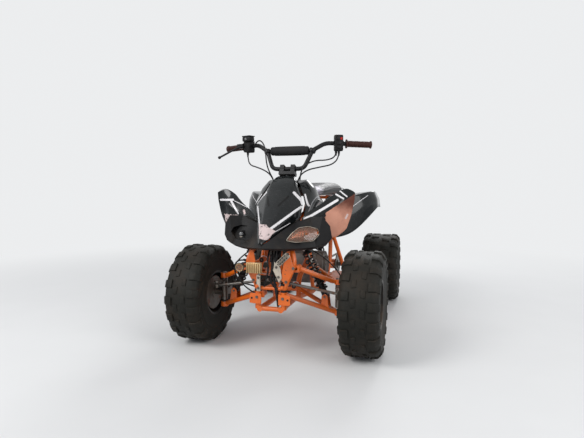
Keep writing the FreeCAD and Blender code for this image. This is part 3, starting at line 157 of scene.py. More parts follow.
class Paint:
    """A material in the making. Constants are set on the shader's own sockets."""

    def __init__(self, name, **constants):
        self.material = bpy.data.materials.new(name)
        self.material.use_nodes = True
        self.tree = self.material.node_tree
        self.shader = self.tree.nodes["Principled BSDF"]
        for word, value in constants.items():
            self.shader.inputs[word.replace("_", " ")].default_value = value

    def add(self, kind, settings, values, output=0):
        """Any node: its type, its settings, then its inputs in order or by name."""
        node = self.tree.nodes.new(kind)
        for setting, value in settings.items():
            setattr(node, setting, value)
        sockets = [socket for socket in node.inputs if socket.enabled]
        named = values.items() if isinstance(values, dict) else enumerate(values)
        for key, value in named:
            socket = sockets[key] if isinstance(key, int) else next(s for s in sockets if s.name == key)
            if isinstance(value, Signal):
                self.tree.links.new(value.socket, socket)
            elif value is not None:
                socket.default_value = value
        shown = [socket for socket in node.outputs if socket.enabled]
        found = shown[output] if isinstance(output, int) else node.outputs[output]
        return Signal(self, found)

    def feed(self, socket, signal):
        self.tree.links.new(signal.socket, self.shader.inputs[socket])

    def place(self, stretch=(1, 1, 1)):
        spot = self.add("ShaderNodeTexCoord", {}, [], "Object")
        if stretch == (1, 1, 1):
            return spot
        return self.add("ShaderNodeVectorMath", {"operation": "MULTIPLY"}, [spot, stretch])

    def noise(self, scale, detail=3, roughness=0.55, stretch=(1, 1, 1)):
        values = {"Vector": self.place(stretch), "Scale": scale, "Detail": detail, "Roughness": roughness}
        return self.add("ShaderNodeTexNoise", {}, values)

    def wobble(self, scale, detail, roughness, reach):
        """Noise about nothing, over the whole reach."""
        return (self.noise(scale, detail, roughness) - 0.5) * reach

    def cells(self, scale):
        return self.add("ShaderNodeTexVoronoi", {}, {"Vector": self.place(), "Scale": scale})

    def ribs(self, scale):
        values = {"Vector": self.place(), "Scale": scale}
        return self.add("ShaderNodeTexWave", {"bands_direction": "X"}, values)

    def step(self, signal, low, high):
        """0 where the signal is under low, 1 where it is over high, smooth in between."""
        values = {"Value": signal, "From Min": low, "From Max": high}
        return self.add("ShaderNodeMapRange", {"interpolation_type": "SMOOTHSTEP"}, values)

    def axis(self, letter):
        return self.add("ShaderNodeSeparateXYZ", {}, [self.place()], "XYZ".index(letter))

    def facing_up(self):
        normal = self.add("ShaderNodeNewGeometry", {}, [], "Normal")
        return self.add("ShaderNodeSeparateXYZ", {}, [normal], 2)

    def mix(self, mask, first, second):
        settings = {"data_type": "RGBA"}
        return self.add("ShaderNodeMix", settings, {"Factor": mask, "A": first, "B": second})

    def bump(self, height, strength, distance):
        """Relief on the shader's normal; distance is the relief's depth in metres."""
        values = {"Strength": strength, "Distance": distance, "Height": height}
        self.feed("Normal", self.add("ShaderNodeBump", {}, values))


DUST = (0.20, 0.135, 0.085, 1)
MUD = (0.055, 0.036, 0.022, 1)
RUST = (0.16, 0.045, 0.014, 1)
BLACK = (0.0055, 0.0055, 0.006, 1)


def dusted(paint, colour, amount, roughness, dust_colour=DUST):
    """Adds the field's dust: patchy, heavier on what faces up and near the ground."""
    patches = paint.noise(9, 5, 0.62)
    fine = paint.noise(120, 3, 0.6)
    upward = paint.step(paint.facing_up(), -0.2, 1.0)
    low_down = 1 - paint.step(paint.axis("Z"), 0.15, 0.75)
    cover = paint.step(patches + fine * 0.25 + upward * 0.12 + low_down * 0.16, 0.70, 1.12)
    mask = (cover * amount).clamped()
    paint.feed("Base Color", paint.mix(mask, colour, dust_colour))
    paint.feed("Roughness", mask * (0.92 - roughness) + roughness)
    return mask


def lighter(shade, gain, lift=0.0):
    return tuple(min(part * gain + lift, 1) for part in shade[:3]) + (1,)


def powder_coat():
    """Orange powder coat, chipped to rusty steel at spots, brown with dust low down."""
    paint = Paint("orange_powder_coat", Coat_Weight=0.15, Coat_Roughness=0.2)
    tone = paint.noise(5, 2)
    orange = paint.mix(tone, (0.56, 0.085, 0.003, 1), (0.76, 0.150, 0.006, 1))
    chips = paint.step(paint.noise(70, 4, 0.7) + paint.noise(11, 2) * 0.35, 0.86, 0.90)
    worn = paint.mix(chips, orange, RUST)
    dusted(paint, worn, 0.40, 0.34)
    paint.bump(paint.noise(420, 2) * 0.4 - chips, 0.35, 0.0006)
    return paint.material


def satin_black(name="satin_black", shade=BLACK, roughness=0.40, amount=0.22):
    paint = Paint(name, Specular_IOR_Level=0.22)
    tone = paint.mix(paint.noise(18, 3), shade, lighter(shade, 1.7, 0.002))
    dusted(paint, tone, amount, roughness)
    paint.bump(paint.noise(300, 3), 0.15, 0.0004)
    return paint.material


def dull_steel():
    """Bare or zinc-plated steel, stained with rust and dirt."""
    paint = Paint("dull_steel", Metallic=0.85)
    tone = paint.mix(paint.noise(30, 4), (0.06, 0.056, 0.052, 1), (0.25, 0.235, 0.215, 1))
    stains = paint.step(paint.noise(24, 6, 0.7), 0.52, 0.66)
    stained = paint.mix(stains * 0.75, tone, RUST)
    dusted(paint, stained, 0.35, 0.40)
    paint.bump(paint.noise(260, 4), 0.3, 0.0005)
    return paint.material


def cast_metal(name, dark, light, metallic, amount):
    """Sand-cast aluminium with oily dirt in its grain."""
    paint = Paint(name, Metallic=metallic)
    tone = paint.mix(paint.noise(40, 5, 0.65), dark, light)
    oily = paint.step(paint.noise(7, 4, 0.6), 0.50, 0.68)
    grimy = paint.mix(oily * 0.7, tone, (0.018, 0.014, 0.011, 1))
    dusted(paint, grimy, amount, 0.48)
    paint.bump(paint.cells(900) * 0.5 + paint.noise(180, 4), 0.35, 0.0006)
    return paint.material


def chain_metal():
    paint = Paint("chain_metal", Metallic=0.9)
    tone = paint.mix(paint.noise(150, 3), (0.05, 0.045, 0.04, 1), (0.26, 0.23, 0.20, 1))
    dusted(paint, tone, 0.5, 0.38)
    paint.bump(paint.noise(400, 2), 0.3, 0.0004)
    return paint.material


def grained_plastic():
    """Matte black moulding with a leather-like grain."""
    paint = Paint("grained_black_plastic", Specular_IOR_Level=0.17)
    tone = paint.mix(paint.noise(25, 3), BLACK, (0.013, 0.0125, 0.0125, 1))
    dusted(paint, tone, 0.16, 0.48)
    paint.bump(paint.cells(620), 0.35, 0.0005)
    return paint.material


def clear_lens(name="clear_lens"):
    paint = Paint(name, Transmission_Weight=0.9, IOR=1.45)
    paint.feed("Base Color", paint.mix(paint.noise(20, 3), (0.50, 0.31, 0.21, 1), (0.72, 0.51, 0.38, 1)))
    paint.feed("Roughness", paint.step(paint.noise(50, 4), 0.5, 0.8) * 0.22 + 0.04)
    return paint.material


def reflector_bowl():
    """A copper-toned mirror behind the lens, fluted and hazy."""
    paint = Paint("copper_reflector", Metallic=1.0)
    paint.feed("Base Color", paint.mix(paint.noise(8, 3), (0.13, 0.038, 0.017, 1), (0.46, 0.18, 0.08, 1)))
    paint.feed("Roughness", paint.noise(30, 3) * 0.2 + 0.10)
    paint.bump(paint.ribs(28), 0.25, 0.002)
    return paint.material


def red_lens():
    paint = Paint("red_lens", Coat_Weight=0.8, Coat_Roughness=0.05)
    ribs = paint.ribs(40)
    tone = paint.mix(ribs * 0.6, (0.22, 0.008, 0.006, 1), (0.48, 0.03, 0.02, 1))
    dusted(paint, tone, 0.3, 0.14)
    paint.bump(ribs, 0.4, 0.001)
    return paint.material


def seat_vinyl():
    """Black vinyl with a painted pale lilac sky reflection, in scuff-like patches, on its front slope."""
    paint = Paint("seat_vinyl", Specular_IOR_Level=0.35)
    tone = paint.mix(paint.noise(20, 3), (0.012, 0.012, 0.014, 1), (0.030, 0.030, 0.034, 1))
    # Painted reflection: the front slope is mixed towards pale lilac in scuff-like patches, standing for the
    # sky's reflection on the vinyl.
    front = 1 - paint.step(paint.axis("Y"), -0.08, 0.10)
    sky_sheen_patches = paint.step(paint.noise(16, 5, 0.65) + front * 0.42, 0.66, 0.84)
    worn = paint.mix(sky_sheen_patches * front, tone, (0.52, 0.48, 0.56, 1))
    dusted(paint, worn, 0.18, 0.45)
    paint.bump(paint.cells(500) * 0.6 + paint.noise(90, 3) * 0.5, 0.35, 0.0007)
    return paint.material


def rubber(name, shade, scale, roughness, amount):
    paint = Paint(name, Specular_IOR_Level=0.25)
    tone = paint.mix(paint.noise(14, 3), shade, lighter(shade, 1.6))
    dusted(paint, tone, amount, roughness)
    paint.bump(paint.noise(scale, 4, 0.65), 0.4, 0.0009)
    return paint.material


def tyre_rubber():
    """Black rubber, browned with dried mud between the lugs and on the side walls."""
    paint = Paint("tyre_rubber", Specular_IOR_Level=0.20)
    tone = paint.mix(paint.noise(22, 4), (0.0065, 0.0065, 0.0050, 1), (0.014, 0.0135, 0.0105, 1))
    smears = paint.step(paint.noise(8, 6, 0.68) + paint.noise(55, 3) * 0.3, 0.70, 0.98)
    muddy = paint.mix(smears * 0.60, tone, MUD)
    dusted(paint, muddy, 0.20, 0.62, (0.085, 0.055, 0.036, 1))
    paint.bump(paint.noise(160, 5, 0.7) + smears * 0.5, 0.45, 0.0012)
    return paint.material


def pad_cover():
    paint = Paint("pad_cover", Specular_IOR_Level=0.25)
    weave = paint.add("ShaderNodeTexChecker", {}, {"Vector": paint.place(), "Scale": 900})
    tone = paint.mix(paint.noise(18, 3), BLACK, (0.013, 0.0125, 0.0135, 1))
    dusted(paint, tone, 0.12, 0.66)
    paint.bump(weave * 0.4 + paint.noise(60, 3), 0.3, 0.0006)
    return paint.material


def bulb_glass():
    paint = Paint("bulb_glass", Transmission_Weight=0.8, Roughness=0.05, IOR=1.45)
    paint.feed("Base Color", paint.mix(paint.noise(40, 2), (0.8, 0.8, 0.8, 1), (0.95, 0.95, 0.95, 1)))
    return paint.material


FINISHES = {
    "orange_frame": powder_coat(),
    "black_steel": satin_black(),
    "plain_steel": dull_steel(),
    "engine_metal": cast_metal("engine_castings", (0.10, 0.09, 0.085, 1), (0.26, 0.24, 0.22, 1), 0.55, 0.6),
    "aluminium": cast_metal("pale_castings", (0.38, 0.33, 0.27, 1), (0.66, 0.60, 0.50, 1), 0.75, 0.3),
    "chain_steel": chain_metal(),
    "black_matte": grained_plastic(),
    "lens_amber": clear_lens(),
    "lens_red": red_lens(),
    "seat_vinyl": seat_vinyl(),
    "grip_rubber": rubber("grip_rubber", (0.030, 0.0085, 0.0055, 1), 300, 0.55, 0.12),
    "pad_vinyl": pad_cover(),
    "rim_paint": satin_black("rim_enamel", (0.007, 0.0065, 0.006, 1), 0.38, 0.30),
    "tyre": tyre_rubber(),
}
ORANGE = FINISHES["orange_frame"]
BLACK_STEEL = FINISHES["black_steel"]
STEEL = FINISHES["plain_steel"]
CASTING = FINISHES["aluminium"]
PLASTIC = FINISHES["black_matte"]
REFLECTOR = reflector_bowl()
BULB = bulb_glass()
SHEATH = rubber("cable_sheath", BLACK, 200, 0.42, 0.12)
SLOT_OF = {row["node"]: row["material_slot"] for row in frame["record"]["subparts"]}


# Stripes and worn places on the panels, with painted highlights and painted shade among them, as seen from
# the front: (sideways, up) in millimetres.

WHITE = (0.72, 0.70, 0.70, 1)
PALE_PINK = (0.62, 0.50, 0.48, 1)
SALMON_TONE = (0.66, 0.33, 0.235, 1)
# Painted shade on the bare salmon moulding.
SALMON_IN_SHADE = (0.070, 0.016, 0.010, 1)
# Painted shade in a slot on the hood.
SLOT_SHADE = (0.002, 0.002, 0.002, 1)
SOFT_EDGE = 0.0005


def near_line(paint, across, height, start, end, width, ragged):
    """1 within a stripe between two places, with a worn edge where it is ragged."""
    (ax, az), (bx, bz) = start, end
    dx, dz = (bx - ax) * MM, (bz - az) * MM
    from_x, from_z = across - ax * MM, height - az * MM
    along = ((from_x * dx + from_z * dz) * (1 / (dx * dx + dz * dz))).clamped()
    off_x, off_z = from_x - along * dx, from_z - along * dz
    distance = (off_x * off_x + off_z * off_z).math("SQRT")
    if ragged:
        distance = distance + paint.wobble(90, 4, 0.7, ragged * MM)
    edge = width / 2 * MM
    return 1 - paint.step(distance, edge - SOFT_EDGE, edge + SOFT_EDGE)


def inside(paint, across, height, corners, ragged):
    """1 inside a convex outline given clockwise or not, torn along its edge by so many millimetres."""
    middle_x = sum(x for x, z in corners) / len(corners)
    middle_z = sum(z for x, z in corners) / len(corners)
    nearest = None
    for (ax, az), (bx, bz) in zip(corners, corners[1:] + corners[:1]):
        long = math.hypot(bx - ax, bz - az)
        nx, nz = (az - bz) / long, (bx - ax) / long
        if (middle_x - ax) * nx + (middle_z - az) * nz < 0:
            nx, nz = -nx, -nz
        reach = (across - ax * MM) * nx + (height - az * MM) * nz
        nearest = reach if nearest is None else nearest.math("MINIMUM", reach)
    return paint.step(nearest + paint.wobble(75, 5, 0.75, ragged * MM), -SOFT_EDGE, SOFT_EDGE)


def marked_panel(name, lines=(), mirrored_lines=(), areas=(), bare=None):
    """Glossy black plastic with worn film stripes and painted highlights; bare shows the moulding's own
    salmon colour, with painted shade towards its top.
    """
    paint = Paint(name, Coat_Roughness=0.05, Specular_IOR_Level=0.20)
    across, height = paint.axis("X"), paint.axis("Z")
    tone = paint.mix(paint.noise(6, 3), (0.0022, 0.0032, 0.0034, 1), (0.0055, 0.0075, 0.0080, 1))
    scratches = paint.step(paint.noise(55, 2, 0.5, (1, 9, 1)), 0.63, 0.66)
    colour = paint.mix(scratches * 0.12, tone, (0.16, 0.16, 0.17, 1))
    rubbed = 1 - paint.step(paint.noise(120, 5, 0.75), 0.60, 0.68) * 0.8
    film = None
    if bare:
        film = bare(paint, across, height)
        mottled = paint.mix(paint.noise(11, 4, 0.6), SALMON_TONE, (0.56, 0.235, 0.150, 1))
        # Painted shade: the bare salmon moulding darkens to dark red-brown towards its top and outer edge,
        # where it lies in shadow; the soot noise adds random dark patches.
        shade_towards_top = paint.step(height + across * 0.55 + paint.wobble(22, 5, 0.7, 0.09), 0.775, 0.885)
        soot = paint.step(paint.noise(16, 5, 0.65), 0.52, 0.78) * 0.35
        stained = paint.mix((shade_towards_top * 0.92 + soot * (1 - shade_towards_top)).clamped(), mottled, SALMON_IN_SHADE)
        colour = paint.mix(film, colour, stained)
    marks = []
    for sideways, stripes in ((across, lines), (across.math("ABSOLUTE"), mirrored_lines)):
        for start, end, width, shade, ragged in stripes:
            marks.append((near_line(paint, sideways, height, start, end, width, ragged) * rubbed, shade))
    for corners, shade, ragged in areas:
        flaked = 1 - paint.step(paint.noise(60, 4), 0.58, 0.62) * 0.7
        marks.append((inside(paint, across, height, corners, ragged) * flaked, shade))
    for mask, shade in marks:
        colour = paint.mix(mask, colour, shade)
        film = mask if film is None else film.math("MAXIMUM", mask)
    dust = dusted(paint, colour, 0.10, 0.20, (0.12, 0.10, 0.085, 1))
    paint.feed("Coat Weight", (1 - film * 0.75) * 0.28)
    paint.bump(film * 0.6 + paint.noise(14, 2) * 0.4 + dust * 0.1, 0.22, 0.0009)
    return paint.material


def torn_decal(paint, across, height):
    """Right of a jagged edge and under a slanted one, the left fender's film is gone."""
    beyond = paint.step(across + paint.wobble(70, 5, 0.75, 0.030), 0.2235, 0.2245)
    limit = (across - 0.211) * 0.70 + 0.640 + paint.wobble(90, 3, 0.6, 0.006)
    return beyond * paint.step(limit - height, -SOFT_EDGE, SOFT_EDGE)


# On the hood, the thin white line just above the lower edge is a painted highlight, and the dark mirrored
# line on the top is painted shade in a slot.
HOOD_PAINT = marked_panel(
    "hood_gloss",
    lines=[((24, 586), (98, 663), 11, WHITE, 0.8), ((98, 663), (112, 676), 11, WHITE, 0.8),
           ((11, 546), (78, 604), 2.6, WHITE, 1.2), ((-18, 573), (-99, 676), 8, WHITE, 1.2)],
    mirrored_lines=[((69, 744), (104, 708), 9, WHITE, 1.0), ((104, 708), (114, 688), 7, WHITE, 1.0),
                    ((52, 724), (24, 684), 10, SLOT_SHADE, 0.0)],
    areas=[([(-45, 605), (0, 602), (43, 576), (23, 542), (-13, 549)], PALE_PINK, 12)],
)
FENDER_PAINT = {
    "left": marked_panel(
        "left_fender_gloss",
        lines=[((132, 622), (156, 633), 12, WHITE, 1.0), ((156, 633), (273, 708), 12, WHITE, 1.2),
               ((262, 736), (300, 715), 7, WHITE, 1.0), ((280, 752), (315, 725), 6, WHITE, 1.0),
               ((310, 624), (318, 640), 9, PALE_PINK, 5)],
        bare=torn_decal,
    ),
    "right": marked_panel(
        "right_fender_gloss",
        lines=[((-335, 706), (-259, 707), 10, WHITE, 2.0), ((-260, 706), (-172, 672), 2.6, WHITE, 0.8),
               ((-265, 700), (-214, 640), 9, WHITE, 1.0), ((-184, 656), (-176, 642), 10, PALE_PINK, 6),
               ((-182, 626), (-172, 580), 8, WHITE, 5)],
        areas=[([(-314, 634), (-217, 634), (-217, 588), (-306, 582)], PALE_PINK, 22)],
    ),
}
# The thin pale line near each rear fender's front edge is a painted highlight along that edge.
REAR_FENDER_PAINT = marked_panel("rear_fender_gloss",
                                 mirrored_lines=[((250, 640), (352, 726), 3, WHITE, 1.0)])
# The thin grey line along each tank cheek's edge is a painted highlight.
TANK_PAINT = marked_panel(
    "tank_cheek_gloss",
    mirrored_lines=[((112, 734), (136, 680), 6, WHITE, 1.2),
                    ((153, 724), (133, 652), 2.4, (0.3, 0.3, 0.31, 1), 0.6)],
)
FINISHES["black_gloss"] = TANK_PAINT
SPRING = satin_black("spring_enamel", (0.010, 0.010, 0.011, 1), 0.22, 0.2)
RED_KEY = satin_black("red_key", (0.30, 0.015, 0.010, 1), 0.35, 0.2)
# Painted warm light: this golden tone stands for sun and lamp light falling on the finned box and the clip
# lamp's bowl.
GOLD_LIT_METAL = cast_metal("gold_lit_castings", (0.50, 0.34, 0.16, 1), (0.80, 0.62, 0.36, 1), 0.85, 0.2)
GLOW_GLASS = clear_lens("glow_glass")


# Modelling tools. Each piece starts as a primitive and is shaped in edit mode; places come in
# millimetres: sideways, behind the front axle, above the ground.

AXLE_Y = sum(corner.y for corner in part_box("front_tyre_left")) / 2
DOUBLES = 0.00002
HEX_CORNER = 0.577
NEARLY_HALF = 0.48


def at(x, y, z):
    return Vector((x * MM, AXLE_Y + y * MM, z * MM))


def behind_axle(spot):
    """How far a place lies behind the front axle, in millimetres."""
    return (spot.y - AXLE_Y) / MM


def alone(piece):
    bpy.ops.object.select_all(action="DESELECT")
    piece.select_set(True)
    bpy.context.view_layer.objects.active = piece


@contextmanager
def editing(piece):
    alone(piece)
    bpy.ops.object.mode_set(mode="EDIT")
    bpy.ops.mesh.select_mode(type="VERT")
    bpy.ops.mesh.select_all(action="SELECT")
    yield
    bpy.ops.object.mode_set(mode="OBJECT")


def clean(piece):
    """Doubled points are merged and every face is turned outwards."""
    with editing(piece):
        bpy.ops.mesh.remove_doubles(threshold=DOUBLES)
        bpy.ops.mesh.normals_make_consistent(inside=False)
    return piece


def apply(piece, kind, **settings):
    alone(piece)
    modifier = piece.modifiers.new(kind.lower(), kind)
    for word, value in settings.items():
        setattr(modifier, word, value)
    bpy.ops.object.modifier_apply(modifier=modifier.name)
    return piece


def bevelled(piece, width, segments, angle=32):
    return apply(piece, "BEVEL", width=width * MM, segments=segments, limit_method="ANGLE",
                 angle_limit=math.radians(angle), use_clamp_overlap=True)


def drawn(name, points):
    """A chain of edges, extruded from one vertex."""
    bpy.ops.object.select_all(action="DESELECT")
    bpy.ops.mesh.primitive_plane_add(size=MM, location=(0, 0, 0))
    piece = bpy.context.object
    piece.name = name
    with editing(piece):
        bpy.ops.mesh.merge(type="CENTER")
    piece.data.vertices[0].co = points[0]
    with editing(piece):
        for here, there in zip(points, points[1:]):
            bpy.ops.mesh.extrude_region_move(TRANSFORM_OT_translate={"value": there - here})
    return piece


def prism(name, points, depth, bevel=0.0, segments=2):
    """A flat outline, extruded by a vector and bevelled."""
    bpy.ops.object.select_all(action="DESELECT")
    bpy.ops.mesh.primitive_circle_add(vertices=len(points), fill_type="NGON", location=(0, 0, 0))
    piece = bpy.context.object
    piece.name = name
    for vertex, point in zip(piece.data.vertices, points):
        vertex.co = point
    with editing(piece):
        bpy.ops.mesh.extrude_region_move(TRANSFORM_OT_translate={"value": depth})
    clean(piece)
    return bevelled(piece, bevel, segments) if bevel else piece


def block(name, low, high, bevel, segments=2):
    """A bevelled block between two corners."""
    (ax, ay, az), (bx, by, bz) = low, high
    corners = [at(x, y, az) for x, y in ((ax, ay), (bx, ay), (bx, by), (ax, by))]
    return prism(name, corners, Vector((0, 0, (bz - az) * MM)), bevel, segments)


def plate(name, outline, y, thick, bevel):
    """An upright plate whose outline is given as (x, z) pairs."""
    return prism(name, [at(x, y, z) for x, z in outline], Vector((0, thick * MM, 0)), bevel, 1)


def turned(name, profile, centre, axis=(1, 0, 0), steps=48):
    """A profile of (along, radius) pairs, spun round an axis through the centre."""
    direction = Vector(axis).normalized()
    side = direction.orthogonal().normalized()
    points = [centre + direction * (along * MM) + side * (radius * MM) for along, radius in profile]
    piece = drawn(name, points)
    with editing(piece):
        bpy.ops.mesh.spin(steps=steps, angle=FULL_TURN, center=centre, axis=direction)
    return clean(piece)


def flipped(profile, side):
    """A profile of (along, radius) pairs, made for the left, turned to face its own side."""
    return [(side * along, radius) for along, radius in profile]


def repeated(piece, count, centre, axis=(1, 0, 0)):
    """The piece becomes a ring of equal copies round an axis."""
    with editing(piece):
        bpy.ops.mesh.spin(steps=count - 1, dupli=True, angle=FULL_TURN * (count - 1) / count,
                          center=centre, axis=Vector(axis).normalized())
    return piece


def eased(points, bend):
    """The path with each inner corner turned into a short arc."""
    line = [points[0]]
    for before, corner, after in zip(points, points[1:], points[2:]):
        reach = min(bend * MM, (corner - before).length * NEARLY_HALF, (after - corner).length * NEARLY_HALF)
        start = corner + (before - corner).normalized() * reach
        end = corner + (after - corner).normalized() * reach
        for share in (0, 0.2, 0.4, 0.6, 0.8, 1):
            line.append(start.lerp(corner, share).lerp(corner.lerp(end, share), share))
    return line + [points[-1]]


def tube(name, path, radius, bend=0.0, both=False):
    """A round tube along a path whose corners are eased; its ends are capped."""
    points = [at(*p) for p in path]
    if bend and len(points) > 2:
        points = eased(points, bend)
    piece = swept(name, points, radius, "POLY", 14)
    return mirrored(piece) if both else piece


def swept(name, points, radius, kind, sides, resolution=12, loop=False):
    """A line or loop of places with a round section, as a closed mesh."""
    piece = spline(name, points, kind, resolution, loop)
    piece.data.bevel_depth = radius * MM
    piece.data.bevel_resolution = (sides - 4) // 2
    piece.data.use_fill_caps = not loop
    alone(piece)
    bpy.ops.object.convert(target="MESH")
    piece = bpy.context.object
    piece.name = name
    return clean(piece)


def spline(name, points, kind, resolution=12, loop=False):
    """A curve object through places in metres, or drawn towards them where it is NURBS."""
    curve = bpy.data.curves.new(name, "CURVE")
    curve.dimensions = "3D"
    line = curve.splines.new(kind)
    line.points.add(len(points) - 1)
    for point, place in zip(line.points, points):
        point.co = (*place, 1)
    if kind == "NURBS":
        line.order_u = 3
        line.use_endpoint_u = True
        line.resolution_u = resolution
    line.use_cyclic_u = loop
    piece = bpy.data.objects.new(name, curve)
    bpy.context.scene.collection.objects.link(piece)
    return piece


def mirrored(piece):
    apply(piece, "MIRROR", use_axis=(True, False, False), use_mirror_merge=True, merge_threshold=DOUBLES)
    return clean(piece)


def painted(piece, material):
    piece.data.materials.clear()
    piece.data.materials.append(material)
    return piece


def coated(material, *pieces):
    return [painted(piece, material) for piece in pieces]


def joined(name, pieces):
    bpy.ops.object.select_all(action="DESELECT")
    for piece in pieces:
        piece.select_set(True)
    bpy.context.view_layer.objects.active = pieces[0]
    if len(pieces) > 1:
        bpy.ops.object.join()
    whole = bpy.context.view_layer.objects.active
    whole.name = name
    return whole


def assembled(name, parts, body, slot, *nodes, angle=35):
    return settled(joined(name, parts), body, slot, *nodes, angle=angle)


def settled(piece, body, slot, *nodes, angle=35):
    """The finished piece is shaded, rides on its body and stands for its nodes."""
    if not piece.data.materials or piece.data.materials[0] is None:
        painted(piece, FINISHES[slot])
    alone(piece)
    bpy.ops.object.shade_smooth_by_angle(angle=math.radians(angle))
    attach(piece, body)
    if nodes:
        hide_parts(*nodes)
    return piece


def strand(name, path, radius, resolution=12):
    """A round line for a cable, hose or piping: one smooth NURBS spline with the route's points as its
    control points.
    """
    return swept(name, [at(*p) for p in path], radius, "NURBS", 10, resolution)


def bolt(name, place, direction, across, height, flange):
    """A hexagon head on a washer."""
    direction = Vector(direction).normalized()
    washer = turned(name, [(-1, 0), (-1, flange), (1.2, flange), (1.2, 0)], place, direction, 20)
    side = direction.orthogonal().normalized()
    reach = side * (across * HEX_CORNER * MM)
    corners = [place + direction * MM + Quaternion(direction, FULL_TURN * i / 6) @ reach for i in range(6)]
    head = prism(name, corners, direction * (height * MM), 0.5, 1)
    return joined(name, [washer, head])


def bolts(name, places, across, height, flange):
    """Steel bolts that are put in from ahead."""
    return coated(STEEL, *(bolt(name, at(*place), AHEAD, across, height, flange) for place in places))


# Bodywork. Each panel's rows of places run down or across the moulding, and its wall is thickened
# inwards; the smooth surface is kept tight at the columns that are creases.

HOOD_ROWS = [
    [(3, -260, 518), (7, -259, 524), (4, -259, 531), (0, -259, 533)],
    [(30, -200, 548), (35, -200, 564), (17, -200, 584), (0, -200, 588)],
    [(50, -150, 571), (55, -150, 594), (28, -150, 624), (0, -150, 629)],
    [(69, -100, 590), (76, -100, 625), (38, -100, 664), (0, -100, 671)],
    [(89, -50, 608), (97, -50, 655), (47, -50, 706), (0, -50, 714)],
    [(109, 0, 626), (119, 0, 685), (55, 0, 747), (0, 0, 756)],
    [(96, 38, 712), (98, 38, 726), (60, 38, 782), (0, 38, 792)],
    [(68, 78, 770), (70, 78, 780), (55, 78, 812), (0, 78, 822)],
    [(52, 102, 800), (52, 102, 808), (40, 102, 824), (0, 102, 828)],
]
TANK_ROWS = [
    [(118, 0, 600), (127, 12, 684), (106, 46, 730), (78, 86, 786), (34, 146, 806), (0, 146, 806)],
    [(130, 60, 610), (152, 84, 700), (134, 106, 762), (104, 128, 803), (34, 160, 806), (0, 160, 806)],
    [(132, 140, 640), (162, 142, 706), (140, 160, 770), (96, 170, 815), (34, 180, 806), (0, 180, 806)],
    [(128, 225, 652), (150, 225, 702), (132, 238, 756), (84, 246, 790), (30, 250, 788), (0, 250, 788)],
    [(114, 330, 660), (122, 330, 704), (106, 330, 732), (72, 330, 752), (30, 330, 754), (0, 330, 755)],
    [(112, 424, 660), (118, 424, 692), (104, 424, 712), (72, 424, 722), (30, 424, 724), (0, 424, 725)],
]
FRONT_FENDER_ROWS = [
    [(116, -14, 626), (124, -26, 602), (126, -24, 590), (126, -20, 580)],
    [(150, 2, 662), (169, -20, 631), (172, -16, 596), (176, -6, 556)],
    [(198, 24, 689), (214, 4, 643), (216, 10, 590), (232, 20, 530)],
    [(250, 58, 734), (281, 24, 689), (278, 30, 610), (270, 40, 536)],
    [(310, 64, 773), (303, 52, 717), (306, 54, 640), (296, 60, 556)],
    [(352, 58, 744), (350, 60, 706), (334, 60, 632), (312, 68, 574)],
]
LINER_ROWS = [
    [(22, -203, 545), (25, -184, 535)],
    [(44, -150, 569), (44, -130, 557)],
    [(64, -100, 587), (62, -90, 573)],
    [(84, -50, 605), (84, -36, 597)],
    [(104, 0, 622), (110, -18, 610)],
]
REAR_FENDER_ROWS = [
    [(188, 376, 494), (176, 384, 600), (150, 392, 676), (122, 400, 688)],
    [(276, 424, 508), (268, 430, 620), (246, 436, 716), (122, 440, 700)],
    [(352, 500, 590), (366, 510, 676), (344, 516, 746), (118, 520, 712)],
    [(404, 590, 660), (400, 596, 704), (380, 600, 752), (112, 600, 722.5)],
    [(390, 820, 652), (386, 820, 704), (360, 820, 754), (112, 820, 722.5)],
    [(372, 1130, 640), (366, 1130, 692), (340, 1130, 742), (104, 1130, 722.5)],
    [(300, 1286, 650), (292, 1288, 684), (262, 1290, 718), (98, 1290, 722.5)],
]
LENS_OUTLINE = [(82, 532), (120, 524), (190, 527), (216, 557), (205, 580), (165, 592), (124, 586), (98, 560)]
LENS_MIDDLE = (150, 555)
PANEL_WALL = 3.2
FUEL_CAP = [(770, 0), (770, 30), (799, 30), (801, 32), (806, 32), (808, 29), (808, 12), (804, 10), (804, 0)]
FUEL_CAP_AXIS = at(0, 262, 0)


def shell(name, rows, creases, side=LEFT, whole=False, wall=PANEL_WALL, row_creases=()):
    """A moulded panel from its rows; whole panels are mirrored across the middle."""
    bpy.ops.object.select_all(action="DESELECT")
    bpy.ops.mesh.primitive_grid_add(x_subdivisions=len(rows[0]) - 1, y_subdivisions=len(rows) - 1,
                                    location=(0, 0, 0))
    piece = bpy.context.object
    piece.name = name
    places = [place for row in rows for place in row]
    for vertex, place in zip(piece.data.vertices, places):
        vertex.co = at(*place)
    if whole:
        apply(piece, "MIRROR", use_mirror_merge=True, merge_threshold=DOUBLES)
    creased(piece, rows, creases, dict(row_creases))
    with editing(piece):
        bpy.ops.mesh.normals_make_consistent(inside=False)
    apply(piece, "SUBSURF", levels=3, render_levels=3, boundary_smooth="PRESERVE_CORNERS")
    if side == RIGHT:
        for vertex in piece.data.vertices:
            vertex.co.x = -vertex.co.x
        piece.data.flip_normals()
    return thickened(piece, wall)


def creased(piece, rows, creases, row_creases):
    """Keeps the panel tight along the columns and rows that are folds."""
    folded = {}
    for column, sharpness in creases.items():
        for here, there in zip(rows, rows[1:]):
            folded[frozenset((key(here[column]), key(there[column])))] = sharpness
    for row, sharpness in row_creases.items():
        for here, there in zip(rows[row], rows[row][1:]):
            folded[frozenset((key(here), key(there)))] = sharpness
    crease = piece.data.attributes.new("crease_edge", "FLOAT", "EDGE")
    for edge in piece.data.edges:
        ends = frozenset(key_of(piece.data.vertices[i].co) for i in edge.vertices)
        crease.data[edge.index].value = folded.get(ends, 0.0)


def key(place):
    return tuple(round(abs(value), 1) for value in place)


def key_of(spot):
    return key((spot.x / MM, behind_axle(spot), spot.z / MM))


